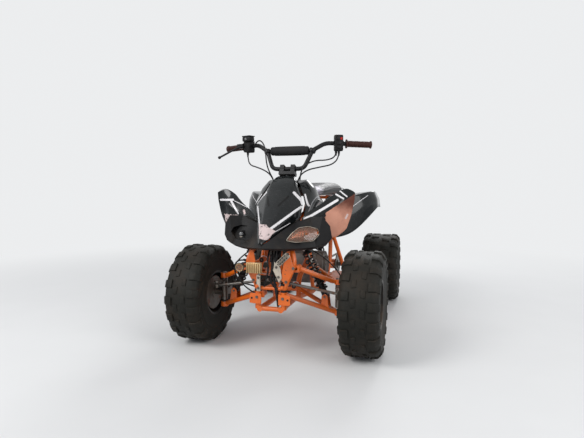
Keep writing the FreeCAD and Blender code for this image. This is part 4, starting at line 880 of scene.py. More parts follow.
def thickened(piece, wall):
    """The open sheet's outward side is found from the piece's middle, then it gets its wall."""
    mesh = piece.data
    outward = sum(face.area * face.normal.dot(face.center - inside_point(piece)) for face in mesh.polygons)
    if outward < 0:
        mesh.flip_normals()
    apply(piece, "SOLIDIFY", thickness=wall * MM, offset=-1, use_rim=True)
    return bevelled(piece, 0.7, 2, 60)


def inside_point(piece):
    """A place under and behind the panel, on its own side of the quad."""
    spots = [vertex.co for vertex in piece.data.vertices]
    middle = sum(spots, Vector()) / len(spots)
    return middle + Vector((-middle.x * 0.6, 0.12, -0.25))


def make_bodywork():
    hood = shell("hood_shell", HOOD_ROWS, {0: 0.7, 1: 0.85, 2: 0.75}, whole=True, row_creases={5: 0.35})
    settled(painted(hood, HOOD_PAINT), "chassis", "black_gloss", "hood")
    liner = shell("hood_liner", LINER_ROWS, {}, whole=True, wall=2)
    settled(painted(liner, PLASTIC), "chassis", "black_matte")

    tank = shell("tank_cheeks", TANK_ROWS, {1: 0.7, 2: 0.35, 3: 0.8}, whole=True)
    cap = turned("fuel_cap", FUEL_CAP, FUEL_CAP_AXIS, (0, 0, 1), 40)
    rib = prism("cap_rib", [at(31, 260, 801), at(33, 260, 801), at(33, 264, 801), at(31, 264, 801)],
                Vector((0, 0, 5 * MM)), 0.4, 1)
    grip = repeated(rib, 20, FUEL_CAP_AXIS, (0, 0, 1))
    assembled("tank_cheeks", [painted(tank, TANK_PAINT), *coated(PLASTIC, cap, grip)],
              "chassis", "black_gloss", "tank_cover")

    for word, side in SIDES:
        fender = shell(f"front_fender_shell_{word}", FRONT_FENDER_ROWS, {1: 0.85, 2: 0.3}, side,
                       row_creases={3: 0.7})
        settled(painted(fender, FENDER_PAINT[word]), "chassis", "black_gloss", f"front_fender_{word}")
        rear = shell(f"rear_fender_shell_{word}", REAR_FENDER_ROWS, {1: 0.5, 2: 0.85}, side,
                     row_creases={3: 0.5})
        settled(painted(rear, REAR_FENDER_PAINT), "chassis", "black_gloss", f"rear_fender_{word}")
    make_lamps()


def lens_spot(x, z, depth, side=LEFT, shrink=1.0):
    """A place on the headlamp's slanted front, or behind it; shrink pulls it towards the middle."""
    middle_x, middle_z = LENS_MIDDLE
    x, z = middle_x + (x - middle_x) * shrink, middle_z + (z - middle_z) * shrink
    return at(side * x, -151 + 0.5 * (x - 82) + 0.525 * (z - 532) + depth, z)


def make_lamps():
    outline = []
    for here, there in zip(LENS_OUTLINE, LENS_OUTLINE[1:] + LENS_OUTLINE[:1]):
        for share in (0.12, 0.5, 0.88):
            outline.append((here[0] + (there[0] - here[0]) * share, here[1] + (there[1] - here[1]) * share))

    def ring(depth, shrink=1.0):
        return [lens_spot(x, z, depth, LEFT, shrink) for x, z in outline]

    pane = prism("headlamp_pane", ring(1.5, 0.955), Vector((0, 2.5 * MM, 0)), 0.8, 2)
    settled(painted(pane, FINISHES["lens_amber"]), "chassis", "lens_amber", "headlamp_lens")
    bowl = hollowed(prism("headlamp_bowl", ring(4.6, 0.95), Vector((0, 10 * MM, 0))))
    settled(painted(bowl, REFLECTOR), "chassis", "lens_amber", angle=50)
    bulb = turned("headlamp_bulb", [(0, 0), (0, 9), (4, 9), (7, 6), (11, 3), (12, 0)],
                  lens_spot(158, 556, 11), (-0.3, -0.9, -0.2), 20)
    settled(painted(bulb, REFLECTOR), "chassis", "lens_amber")
    rim = swept("headlamp_rim", ring(0.2), 1.5, "POLY", 10, loop=True)
    settled(painted(rim, CASTING), "chassis", "black_matte")

    socket = lens_spot(150, 552, 22, RIGHT)
    holder = turned("lamp_holder", [(-8, 0), (-8, 13), (-2, 15), (2, 15), (2, 11), (9, 11), (9, 8), (14, 8),
                                    (14, 0)], socket, AHEAD, 28)
    clip_y = behind_axle(socket) - 6
    clip = block("lamp_clip", (-166, clip_y, 534), (-134, clip_y + 3, 538), 0.6)
    assembled("lamp_holder", [painted(holder, PLASTIC), painted(clip, CASTING)], "chassis", "black_matte",
              "lamp_socket")
    glass = turned("bare_bulb", [(14, 0), (14, 6), (20, 9), (27, 9), (32, 6), (34, 0)], socket, AHEAD, 24)
    settled(painted(glass, BULB), "chassis", "lens_amber")


def hollowed(bowl):
    """The bowl's front face is inset and sunk in steps towards its middle."""
    with editing(bowl):
        bpy.ops.mesh.select_all(action="DESELECT")
    for face in bowl.data.polygons:
        face.select = len(face.vertices) > 4 and face.normal.y < 0
    alone(bowl)
    bpy.ops.object.mode_set(mode="EDIT")
    bpy.ops.mesh.select_mode(type="FACE")
    bpy.ops.mesh.inset(thickness=1.6 * MM)
    for shrink, step in ((0.86, 4.5), (0.70, 3.4), (0.50, 1.4)):
        bpy.ops.mesh.extrude_region_move(TRANSFORM_OT_translate={"value": (0, step * MM, 0)})
        bpy.ops.transform.resize(value=(shrink, shrink, shrink), center_override=lens_spot(*LENS_MIDDLE, 12))
    bpy.ops.object.mode_set(mode="OBJECT")
    return bowl


def dress_cad_nodes():
    """Each solid of the frame takes its slot's finish, with smooth curves and crisp edges."""
    for name, node in NODES.items():
        painted(node, FINISHES[SLOT_OF[name]])
        for face in node.data.polygons:
            face.use_smooth = True
        node.modifiers.new("weld", "WELD").merge_threshold = DOUBLES
        node.modifiers.new("crisp_edges", "EDGE_SPLIT").split_angle = math.radians(48)


def make_floor():
    """A pale disc that keeps the quad's shadow and fades, far out, into the background."""
    bpy.ops.object.select_all(action="DESELECT")
    bpy.ops.mesh.primitive_circle_add(vertices=96, radius=30, fill_type="NGON", location=(0, 0, 0))
    floor = bpy.context.object
    floor.name = "floor"
    paint = Paint("pale_floor", Roughness=0.9, Specular_IOR_Level=0.1)
    paint.feed("Base Color", paint.mix(paint.noise(3, 2), (0.66, 0.66, 0.65, 1), (0.69, 0.69, 0.68, 1)))
    away = paint.add("ShaderNodeVectorMath", {"operation": "LENGTH"}, [paint.place()], "Value")
    seen = paint.add("ShaderNodeLightPath", {}, [], "Is Camera Ray")
    glow = paint.add("ShaderNodeEmission", {}, {"Color": BACKGROUND, "Strength": 1.0})
    blend = paint.tree.nodes.new("ShaderNodeMixShader")
    paint.tree.links.new((paint.step(away, 1.2, 4.2) * seen).socket, blend.inputs[0])
    paint.tree.links.new(paint.shader.outputs[0], blend.inputs[1])
    paint.tree.links.new(glow.socket, blend.inputs[2])
    paint.tree.links.new(blend.outputs[0], paint.tree.nodes["Material Output"].inputs["Surface"])
    floor.data.materials.append(paint.material)


# Wheels: knobbly tyres worn smooth in the middle, on dusty black steel rims.

WHEELS = {
    "front": {"x": 410, "y": 0, "radius": 241.5, "half": 90, "rim_half": 75, "wall": -6},
    "rear": {"x": 380, "y": 1110, "radius": 228.6, "half": 120.5, "rim_half": 100, "wall": -50},
}
RIM_RADIUS = 101.6
TREAD_DEPTH = 6.5
LUGS = 18
NUTS = 4
NUT_CIRCLE = 50


def make_tyre(name, place, size):
    """The carcass is turned; each row of lugs is one block, copied round the axle."""
    half, rim_half, tread = size["half"], size["rim_half"], size["radius"] - TREAD_DEPTH
    outer = [(0, tread), (half - 34, tread - 2), (half - 16, tread - 8), (half - 7, tread - 22),
             (half - 4, tread - 44), (half - 6, tread - 70), (half - 13, RIM_RADIUS + 24),
             (rim_half + 3, RIM_RADIUS + 13), (rim_half - 3, RIM_RADIUS + 3)]
    inner = [(rim_half - 12, RIM_RADIUS + 3), (half - 26, RIM_RADIUS + 34), (half - 16, tread - 60),
             (half - 24, tread - 20), (0, tread - 12)]
    left_half = outer + inner
    profile = left_half + flipped(reversed(left_half), RIGHT)[1:]
    wall_ring = [(half - 5.5, tread - 64), (half - 3.4, tread - 61), (half - 4.4, tread - 57),
                 (half - 7, tread - 60), (half - 5.5, tread - 64)]
    parts = [turned("carcass", profile, place, steps=72)]
    parts += [turned("wall_ring", flipped(wall_ring, side), place, steps=72) for side in (LEFT, RIGHT)]
    return painted(joined(name, parts + make_lugs(place, size)), FINISHES["tyre"])


def make_lugs(place, size):
    """Four rings of lugs: tall ones on the shoulders, worn and swept ones beside the middle."""
    half, top = size["half"], size["radius"] - 1.6
    shoulder = [(half - 50, top), (half - 20, top - 3), (half - 2, top - 24), (half - 1.5, top - 34),
                (half - 7, top - 52), (half - 12, top - 50), (half - 50, top - 22)]
    worn = [(10, top - 2.6), (half - 60, top - 2.0), (half - 60, top - 16), (10, top - 16)]
    rings = []
    for outline, side, turn, long, sweep in ((shoulder, LEFT, 0.0, 40, 0), (shoulder, RIGHT, 0.5, 40, 0),
                                             (worn, LEFT, 0.5, 34, 14), (worn, RIGHT, 0.0, 34, 14)):
        corners = [place + Vector((side * x, -long / 2, r)) * MM for x, r in outline]
        lug = prism("lug", corners, Vector((0, long * MM, 0)))
        for vertex in lug.data.vertices:
            off = abs(vertex.co.x - place.x)
            vertex.co.y += (1 - off / (half * MM)) * sweep * MM
            if off > (half - 30) * MM:
                vertex.co.y = place.y + (vertex.co.y - place.y) * 0.86
        lug = bevelled(lug, 2.2, 2, 30)
        with editing(lug):
            bpy.ops.transform.rotate(value=turn * FULL_TURN / LUGS, orient_axis="X", center_override=place)
        rings.append(repeated(lug, LUGS, place))
    return rings


def make_rim(name, place, size, side):
    w, wall, seat = size["rim_half"], size["wall"], RIM_RADIUS
    barrel = [(-w - 1.5, 110.8), (-w + 1, 109.5), (-w + 3, seat + 1), (-w + 6, seat - 0.5),
              (wall - 24, seat - 1), (wall - 9, 86), (wall + 10, 86), (wall + 26, seat - 1),
              (w - 6, seat - 0.5), (w - 3, seat + 1), (w - 1, 109.5), (w + 1.5, 110.8), (w + 2.4, 109),
              (w + 1.5, 106.5), (w - 0.5, 99.5), (w - 6, seat - 3.5), (wall + 28, seat - 3.6),
              (wall + 11, 83.4), (wall - 10, 83.4), (wall - 25, seat - 3.6), (-w + 6, seat - 3.5),
              (-w + 0.5, 99.5), (-w - 1.5, 106.5), (-w - 2.4, 109), (-w - 1.5, 110.8)]
    disc = [(wall + 0.4, 31), (wall + 0.4, 84), (wall + 4, 84.5), (wall + 4.5, 78), (wall + 9, 73),
            (wall + 9, 64), (wall + 4.4, 60), (wall + 4.4, 40), (wall + 7, 36), (wall + 7, 31),
            (wall + 0.4, 31)]
    hoop = turned("barrel", flipped(barrel, side), place, steps=64)
    face = turned("wheel_disc", flipped(disc, side), place, steps=64)
    out = Vector((side, 0, 0))
    start = place + out * ((wall + 4.4) * MM)
    nut_place = start + Vector((0, 0, NUT_CIRCLE * MM))
    nut = bolt("wheel_nut", nut_place, out, 17, 9, 12)
    stud = turned("stud", [(0, 0), (0, 4.6), (13, 4.6), (14, 3.8), (14, 0)], nut_place, out, 16)
    nuts = repeated(joined("nuts", [nut, stud]), NUTS, place)
    hub_nut = turned("hub_nut", [(0, 0), (0, 20), (3, 21), (10, 17), (16, 15.5), (17, 13), (17, 0)],
                     start + out * (2 * MM), out, 32)
    valve = turned("valve", [(0, 0), (0, 5), (4, 5), (6, 3), (24, 2.6), (25, 0)],
                   place + Vector((side * (w - 24), 0, -97)) * MM, (side, 0, 0.42), 12)
    return joined(name, coated(FINISHES["rim_paint"], hoop, face) + coated(STEEL, nuts, hub_nut)
                  + coated(SHEATH, valve))


def make_wheels():
    for end, size in WHEELS.items():
        for word, side in SIDES:
            place = at(side * size["x"], size["y"], size["radius"])
            body = f"front_wheel_{word}" if end == "front" else "rear_axle"
            tyre = make_tyre(f"knobbly_tyre_{end}_{word}", place, size)
            settled(tyre, body, "tyre", f"{end}_tyre_{word}", angle=40)
            rim = make_rim(f"steel_rim_{end}_{word}", place, size, side)
            settled(rim, body, "rim_paint", f"{end}_rim_{word}")


# Frame: orange tubes with their plates, and what hangs on them.

BENT = 22
CRADLE_RAIL = [(50, -135, 213), (50, 122, 213), (92, 260, 213), (92, 640, 213), (92, 735, 335),
               (92, 765, 560)]
FRONT_HOOP = [(62, -122, 213), (62, -122, 310), (112, -122, 425), (92, -100, 492)]
REAR_HOOP = [(62, 122, 213), (62, 122, 310), (112, 122, 425), (92, 100, 492)]
BACKBONE = [(74, 84, 502), (62, 96, 600), (72, 200, 640), (84, 420, 606), (84, 745, 590)]
SUBFRAME = [(84, 745, 600), (84, 850, 707.5), (84, 1220, 707.5)]
ARM_PIVOTS = ((120, 403), (50, 279))
COIL_TURNS = 7.5


def tubes(material, *rows):
    """Tubes from rows of path, radius, bend and whether it is mirrored."""
    pieces = [tube("tube", path, radius, bend, both=both) for path, radius, bend, both in rows]
    return coated(material, *pieces)


def cross(x, y, z, radius):
    """A straight tube from side to side."""
    return [(-x, y, z), (x, y, z)], radius, 0, False


def weld_bead(place, axis, radius):
    """A rippled bead round the foot of a tube."""
    section = [(0, radius), (1.8, radius + 2.6), (4.2, radius + 2.2), (5.4, radius)]
    ring = turned("bead", section, place, axis, 30)
    for vertex in ring.data.vertices:
        ripple = math.sin(vertex.index * 2.1) * 0.35 * MM
        vertex.co += (vertex.co - place).normalized() * ripple
    return ring


def eye(name, place, axis, outer, inner, half):
    """A bushed eye at the end of an arm or a shock."""
    section = [(-half, inner), (-half, outer - 1), (-half + 1, outer), (half - 1, outer), (half, outer - 1),
               (half, inner), (-half, inner)]
    return turned(name, section, place, axis, 28)


def arm_pivots(end):
    """Pins and blocks for both sides' arm pivots; end is -1 ahead, and 1 behind, where blocks are bare."""
    parts = []
    near, far = sorted((end * 106, end * 122))
    for x, z in ARM_PIVOTS:
        parts += tubes(STEEL, ([(x, end * 122, z), (x, end * 74, z)], 6, 0, True))
        lug = mirrored(block("pivot_block", (x - 15, near, z - 16), (x + 15, far, z + 16), 2))
        parts.append(lug if end > 0 else painted(lug, ORANGE))
    return parts


def make_frame():
    cradle = tubes(ORANGE, (CRADLE_RAIL, 13, BENT, True), cross(50, -122, 213, 11), cross(50, 92, 213, 11),
                   cross(92, 300, 213, 11), cross(92, 610, 213, 11), cross(92, 690, 280, 8))
    for x in (80, -86):
        for y in (400, 520):
            cradle.append(block("engine_tab", (x, y, 213), (x + 6, y + 24, 238), 2))
    cradle.append(weld_bead(at(50, -109, 213), (1, 0, 0), 11))
    assembled("cradle_tubes", cradle, "chassis", "orange_frame", "frame_cradle")

    hooped = tubes(ORANGE, (REAR_HOOP, 13, BENT, True), cross(92, 100, 492, 13),
                   ([(92, 122, 403), (120, 122, 403)], 6, 0, True))
    assembled("rear_hoop", hooped + arm_pivots(1), "chassis", "orange_frame", "tower_rear_hoop")

    rails = tubes(ORANGE, ([(92, -100, 492), (92, 100, 492)], 13, 0, True))
    ear = [(92, 480), (128, 472), (140, 478), (140, 492), (128, 498), (92, 500)]
    rails += [mirrored(plate("shock_ear", ear, y, 5, 1)) for y in (-23, 18)]
    rails += tubes(STEEL, ([(128, -30, 486), (128, 30, 486)], 5, 0, True))
    assembled("tower_top_rails", rails, "chassis", "orange_frame", "tower_rails")

    back = tubes(ORANGE, (BACKBONE, 13, BENT, True), ([(72, 215, 634), (92, 300, 213)], 11, 0, True),
                 cross(84, 430, 606, 11), cross(84, 740, 590, 11))
    back.append(mirrored(block("tank_tab", (70, 292, 606), (122, 308, 631.7), 2)))
    bracket = ((728, 590), (776, 560), (764, 542), (742, 542), (722, 572))
    for x in (-24, 18):
        back.append(prism("shock_bracket", [at(x, y, z) for y, z in bracket], Vector((6 * MM, 0, 0)), 1, 1))
    assembled("backbone_tubes", back, "chassis", "orange_frame", "frame_backbone")

    rear = tubes(ORANGE, (SUBFRAME, 11, BENT, True), ([(84, 761, 500), (84, 1060, 701.5)], 9, 0, True),
                 cross(84, 960, 707.5, 9), cross(84, 1214, 707.5, 9))
    assembled("subframe_tubes", rear, "chassis", "orange_frame", "rear_subframe")


def make_arms():
    for word, side in SIDES:
        parts = []
        for (inner_x, inner_z), tip_z, rise in zip(ARM_PIVOTS, (332, 187), (4, 10)):
            tip = (side * 290, 0, tip_z)
            for y in (-92, 92):
                foot = (side * inner_x, y, inner_z)
                parts += tubes(ORANGE, ([foot, (side * 262, y * 0.12, tip_z + rise), tip], 11, 12, False))
                parts += coated(ORANGE, eye("arm_bush", at(*foot), (0, 1, 0), 16, 6.5, 17))
                parts += coated(SHEATH, eye("bush_rubber", at(*foot), (0, 1, 0), 11, 6, 20))
            parts += coated(ORANGE, eye("end_ring", at(*tip), (0, 0, 1), 19, 15, 12))
            cap = turned("ball_cap", [(12, 0), (12, 15), (14, 14), (17, 9), (18, 0)], at(*tip), (0, 0, 1), 24)
            parts += coated(STEEL, cap)
        gusset = [at(side * x, y, z) for x, y, z in ((196, -30, 218), (196, 30, 218), (256, 12, 206),
                                                     (256, -12, 206))]
        parts += coated(ORANGE, prism("arm_plate", gusset, Vector((0, 0, 5 * MM)), 1, 1))
        for y in (-25, 20):
            ear = [(side * x, z) for x, z in ((212, 214), (250, 204), (242, 268), (228, 276), (214, 264))]
            parts += coated(ORANGE, plate("shock_ear", ear, y, 5, 1))
        parts += tubes(STEEL, ([(side * 228, -31, 262), (side * 228, 31, 262)], 5, 0, False))
        assembled(f"front_arms_{word}", parts, "chassis", "orange_frame", f"arms_{word}")


def make_shock(name, low, high, coil_radius, wire, node):
    """A coil-over damper between two eyes: body, shaft, spring cups and a wound spring."""
    foot, top = at(*low), at(*high)
    way = top - foot
    long = way.length / MM
    half = long / 2
    damper = turned("damper", [(10, 0), (10, 15), (half, 15), (half + 3, 12), (half + 3, 0)], foot, way, 28)
    shaft = turned("shaft", [(half, 0), (half, 6), (long - 10, 6), (long - 10, 0)], foot, way, 20)
    low_cup = turned("low_cup", [(34, 15), (34, coil_radius - 1), (37, coil_radius), (41, coil_radius),
                                 (42, 17), (42, 15), (34, 15)], foot, way, 36)
    high_cup = turned("high_cup", [(long - 30, 6), (long - 34, coil_radius - 3), (long - 29, coil_radius),
                                   (long - 22, coil_radius - 2), (long - 16, 14), (long - 12, 6),
                                   (long - 30, 6)], foot, way, 36)
    across = Vector((0, 1, 0)) if abs(way.x) > 0.01 else Vector((1, 0, 0))
    eyes = [eye("shock_eye", spot, across, 15, 5.5, 14) for spot in (foot, top)]
    bushes = [eye("eye_bush", spot, across, 11, 5.2, 16) for spot in (foot, top)]
    spring = wound(foot, way, 42 + wire, long - 34 - wire, coil_radius - wire, wire)
    parts = [painted(damper, BLACK_STEEL), painted(shaft, STEEL), *coated(BLACK_STEEL, low_cup, high_cup),
             painted(spring, SPRING), *coated(BLACK_STEEL, *eyes), *coated(SHEATH, *bushes)]
    assembled(name, parts, "chassis", "black_steel", node)


def wound(foot, way, start, end, radius, wire):
    """A spring's coil between two heights over its foot, closer wound at its ends."""
    side = way.orthogonal().normalized()
    front = way.normalized().cross(side)
    steps = int(COIL_TURNS * 28)
    coil = []
    for index in range(steps + 1):
        turn = FULL_TURN * COIL_TURNS * index / steps
        share = index / steps
        packed = share + 0.028 * math.sin(FULL_TURN * share)
        spot = foot + way.normalized() * ((start + (end - start) * packed) * MM)
        coil.append(spot + (side * math.cos(turn) + front * math.sin(turn)) * (radius * MM))
    return swept("spring", coil, wire, "POLY", 10)


def make_shocks():
    for word, side in SIDES:
        make_shock(f"coil_over_{word}", (side * 228, 0, 262), (side * 128, 0, 486), 26, 4.2,
                   f"front_shock_{word}")
    make_shock("coil_over_rear", (0, 880, 291), (0, 752, 556), 30, 5.0, "rear_shock")


# Steering: the handlebar with its grips and controls, which all turn with the stem, and the cables, whose
# boots alone are fixed to the stem.

BAR_HALF = [(0, 139, 862), (82, 141, 862), (120, 170, 955), (180, 198, 992), (395, 287, 985)]
BAR_WAY = (Vector(BAR_HALF[-1]) - Vector(BAR_HALF[-2])).normalized()


def along_bar(distance, side):
    """A place on the grip's straight part, so far in from the bar's end."""
    spot = Vector(BAR_HALF[-1]) - BAR_WAY * distance
    return (side * spot.x, spot.y, spot.z)


def make_bar():
    middle = [(-x, y, z) for x, y, z in BAR_HALF[2:0:-1]] + BAR_HALF[:3]
    parts = [tube("bar", middle, 11, 26)]
    for side in (LEFT, RIGHT):
        parts.append(tube("wing", [(side * x, y, z) for x, y, z in BAR_HALF[2:]], 11, 26))
    parts.append(tube("brace", [(-118, 170, 953), (118, 170, 953)], 6.5))
    clamp = [(-9, 11), (-9, 17), (-7, 18), (7, 18), (9, 17), (9, 11), (-9, 11)]
    for side in (LEFT, RIGHT):
        parts.append(turned("brace_clamp", clamp, at(side * 119, 169, 953), (side * 0.36, 0.28, 0.89), 28))
    assembled("bent_bar", coated(BLACK_STEEL, *parts), "steering", "black_steel", "handlebar")


def make_grips():
    for word, side in SIDES:
        way = Vector((side * BAR_WAY.x, BAR_WAY.y, BAR_WAY.z))
        ribs = [(0, 0), (0, 22), (3, 23.3), (6, 22), (8, 17)]
        for index in range(15):
            start = 12 + index * 7.2
            ribs += [(start, 14.6), (start + 1.2, 16.4), (start + 4.6, 16.4), (start + 5.8, 14.6)]
        ribs += [(122, 15.5), (126, 19), (131, 19), (133, 15), (133, 0)]
        grip = turned("grip", ribs, at(*along_bar(130, side)), way, 36)
        settled(painted(grip, FINISHES["grip_rubber"]), "steering", "grip_rubber",
                *(["grips"] if side == LEFT else []), angle=45)
        grip.name = f"ribbed_grip_{word}"


def turned_block(name, low, high, middle, degrees, bevel):
    """A block about a place on the bar, turned to lie along it."""
    piece = block(name, low, high, bevel, 3)
    spin = Matrix.Rotation(math.radians(degrees), 4, "Z")
    centre = at(0, 0, 0)
    place = at(*middle)
    for vertex in piece.data.vertices:
        vertex.co = place + spin @ (vertex.co - centre)
    return piece


def bar_blocks(side, rows):
    """Blocks of a control, turned to lie along the bar on one side."""
    return [painted(turned_block(name, low, high, (side * 239.8, 222.8, 990.1), side * 22, bevel), finish)
            for name, low, high, finish, bevel in rows]


def make_controls():
    assembled("switch_cluster", bar_blocks(LEFT, [
        ("switch_case", (-21, -27, -38), (21, 18, 42), PLASTIC, 6),
        ("case_seam", (-21.6, -5, -38.4), (21.4, -3.4, 42.4), SHEATH, 0.4),
        ("switch_collar", (-15, -16, -15), (26, 16, 15), PLASTIC, 5),
        ("light_key", (-14, -31, 14), (2, -25, 30), BLACK_STEEL, 2),
        ("stop_key", (5, -30, 16), (16, -25, 28), RED_KEY, 2),
        ("start_key", (-12, -31, -8), (10, -25, 6), BLACK_STEEL, 2),
        ("horn_key", (-10, -30, -28), (8, -25, -14), BLACK_STEEL, 2),
    ]), "steering", "black_matte", "switch_box")

    cluster = bar_blocks(RIGHT, [
        ("throttle_case", (-20, -33, -34), (22, 17, 30), PLASTIC, 7),
        ("case_seam", (-20.6, -8, -34.3), (22.4, -6.4, 30.3), SHEATH, 0.4),
        ("lever_perch", (-60, -43, -12), (-16, -26, 12), BLACK_STEEL, 4),
        ("reservoir", (-12, -49, 22), (42, -9, 46), PLASTIC, 5),
        ("reservoir_lid", (-13, -50, 46), (44, -8, 51.5), BLACK_STEEL, 2),
        ("sight_glass", (8, -50.4, 29), (20, -47, 40), BULB, 2),
        *(("lid_screw", (x - 2.4, y - 2.4, 50), (x + 2.4, y + 2.4, 52), STEEL, 0.6)
          for x, y in ((-7, -44), (38, -44), (-7, -14), (38, -14))),
    ])
    lever = tube("lever", [(-268, 190, 988), (-292, 172, 978), (-340, 158, 952), (-386, 150, 928)], 5.2, 14)
    ball = turned("lever_ball", [(-8, 0), (-6.5, 5), (-3, 7.6), (0, 8.2), (3, 7.6), (6.5, 5), (8, 0)],
                  at(-386, 150, 928), (-0.8, -0.1, -0.5), 24)
    assembled("brake_cluster", cluster + coated(BLACK_STEEL, lever, ball), "steering", "black_matte",
              "brake_control")


CONTROL_ROUTES = (
    [(246, 206, 951.6), (246, 206, 918), (222, 172, 882), (168, 128, 868), (110, 100, 854), (72, 98, 826),
     (61, 100, 794)],
    [(232, 204, 951.6), (232, 204, 924), (200, 150, 902), (146, 108, 900), (102, 84, 876), (82, 80, 842),
     (78, 84, 802)],
    [(-246, 206, 955.6), (-246, 206, 922), (-216, 164, 886), (-160, 120, 872), (-108, 98, 854),
     (-72, 98, 826), (-61, 100, 794)],
)
HOSE_ROUTE = [(302, 74, 264), (302, 74, 302), (284, 72, 352), (240, 66, 404), (186, 60, 446), (136, 58, 472),
              (105.3, 58, 486)]
LEVER_ROUTE = [(-200, 184, 986), (-178, 160, 1008), (-142, 134, 1010), (-112, 116, 968), (-104, 102, 900),
               (-88, 96, 850), (-66, 98, 812)]
CABLE_RADIUS = 3.4


def centreline(route):
    """The places along the route's own smooth spline."""
    holder = spline("line", [at(*place) for place in route], "NURBS")
    bpy.context.view_layer.update()
    mesh = bpy.data.meshes.new_from_object(holder)
    places = [vertex.co.copy() for vertex in mesh.vertices]
    bpy.data.objects.remove(holder)
    return places


def laid(piece, route, node=None):
    """The cable is shaded smooth and its node, if it has one, is hidden; the places along its route are
    worked out but not used.
    """
    places = centreline(route)
    alone(piece)
    bpy.ops.object.shade_smooth_by_angle(angle=math.radians(60))
    if node:
        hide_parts(node)


def make_cables():
    boots = []
    for index, route in enumerate(CONTROL_ROUTES):
        cable = painted(strand(f"control_cable_{index + 1}", route, CABLE_RADIUS), SHEATH)
        at(0, 204, 930)
        at(0, 92, 806)
        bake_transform(cable)
        laid(cable, route, "control_cables")
        boots.append(turned("boot", [(-4, 0), (-4, 6.4), (8, 6.2), (16, 4.6), (24, 3.9), (24, 0)],
                            at(*route[0]), (0, 0, -1), 20))
    settled(painted(joined("cable_boots", boots), SHEATH), "steering", "grip_rubber")
    lever_hose = painted(strand("lever_hose", LEVER_ROUTE, CABLE_RADIUS), SHEATH)
    at(0, 130, 940)
    at(0, 92, 812)
    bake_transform(lever_hose)
    laid(lever_hose, LEVER_ROUTE)
    for word, side in SIDES:
        route = [(side * x, y, z) for x, y, z in HOSE_ROUTE]
        hose = painted(strand(f"brake_line_{word}", route, CABLE_RADIUS), SHEATH)
        at(side * 302, 74, 290)
        at(side * 150, 58, 466)
        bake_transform(hose)
        laid(hose, route, f"brake_hose_{word}")
        union = turned("union", [(-3, 0), (-3, 7), (7, 7), (7, 5), (16, 5), (17, 3.9), (17, 0)],
                       at(*route[0]), (0, 0, 1), 6)
        union.name = f"hose_union_{word}"
        settled(painted(union, STEEL), f"knuckle_{word}", "plain_steel")


# Seat and bar pad: closed soft forms, swollen by a short cloth simulation, then seamed.

SEAT_ROWS = [
    (430, 68, 70, 744, 48, 752), (520, 94, 97, 750, 68, 770), (640, 102, 106, 764, 80, 791),
    (810, 102, 110, 772, 84, 800), (1070, 100, 110, 774, 84, 803), (1228, 86, 90, 762, 62, 786),
]
SEAT_FLOOR = 723.2
SEAM_FLOOR = 748
SEAT_SEAMS = (640, 700)
PAD_SEAMS = (-84, 84)
CLOTH_FRAMES = 20


def padded_form(name, rows):
    """A closed form from rings of places, one per station."""
    count = len(rows[0])
    bpy.ops.object.select_all(action="DESELECT")
    bpy.ops.mesh.primitive_grid_add(x_subdivisions=count, y_subdivisions=len(rows) - 1, location=(0, 0, 0))
    piece = bpy.context.object
    piece.name = name
    places = [place for row in rows for place in row + [row[0]]]
    for vertex, place in zip(piece.data.vertices, places):
        vertex.co = at(*place)
    with editing(piece):
        bpy.ops.mesh.remove_doubles(threshold=DOUBLES)
        bpy.ops.mesh.select_all(action="DESELECT")
        bpy.ops.mesh.select_non_manifold()
        bpy.ops.mesh.fill_holes(sides=0)
    return clean(piece)


def swollen(piece, voxel, pressure, cap):
    """The form is remeshed, puffed up as cloth, and kept within the cap of where it began."""
    piece = apply(piece, "REMESH", mode="VOXEL", voxel_size=voxel * MM)
    rest = [vertex.co.copy() for vertex in piece.data.vertices]
    alone(piece)
    cloth = piece.modifiers.new("cloth", "CLOTH")
    cloth.settings.use_pressure = True
    cloth.settings.uniform_pressure_force = pressure
    cloth.settings.effector_weights.gravity = 0
    for frame_number in range(1, CLOTH_FRAMES + 1):
        bpy.context.scene.frame_set(frame_number)
    shaped = piece.evaluated_get(bpy.context.evaluated_depsgraph_get())
    moved = [vertex.co.copy() for vertex in shaped.data.vertices]
    piece.modifiers.remove(cloth)
    bpy.context.scene.frame_set(1)
    for vertex, start, end in zip(piece.data.vertices, rest, moved):
        shift = end - start
        if shift.length > cap * MM:
            shift = shift.normalized() * (cap * MM)
        vertex.co = start + shift
    return piece


def seam_depth(off, half, depth):
    """How deep a sewn seam draws the cover in, at a distance from its line."""
    return depth * MM * math.cos(off / half * math.pi / 2) if abs(off) < half else 0.0


def make_seat():
    rings = []
    for y, base, side, side_z, top, top_z in SEAT_ROWS:
        half = [(base, y, SEAT_FLOOR), (side, y, side_z), (top, y, top_z), (top * 0.45, y, top_z + 2),
                (0, y, top_z + 2.5)]
        rings.append(half + [(-x, there, z) for x, there, z in reversed(half[:-1])])
    seat = padded_form("seat_form", rings)
    apply(seat, "SUBSURF", levels=2, render_levels=2)
    seat = swollen(seat, 6, 3.0, 5)
    apply(seat, "SMOOTH", factor=0.5, iterations=3)
    for vertex in seat.data.vertices:
        spot = vertex.co
        if spot.z > SEAM_FLOOR * MM:
            y = behind_axle(spot)
            spot.z -= sum(seam_depth(y - seam, 9, 2.4) for seam in SEAT_SEAMS)
        spot.z = max(spot.z, SEAT_FLOOR * MM)
    edge = [(side + 1.5, y, side_z) for y, base, side, side_z, top, top_z in SEAT_ROWS]
    piping = [strand("piping", [(side * x, y, z) for x, y, z in edge], 2.2, 10) for side in (LEFT, RIGHT)]
    seat = assembled("padded_seat", [painted(seat, FINISHES["seat_vinyl"]), *coated(SHEATH, *piping)],
                     "chassis", "seat_vinyl", "seat", angle=60)


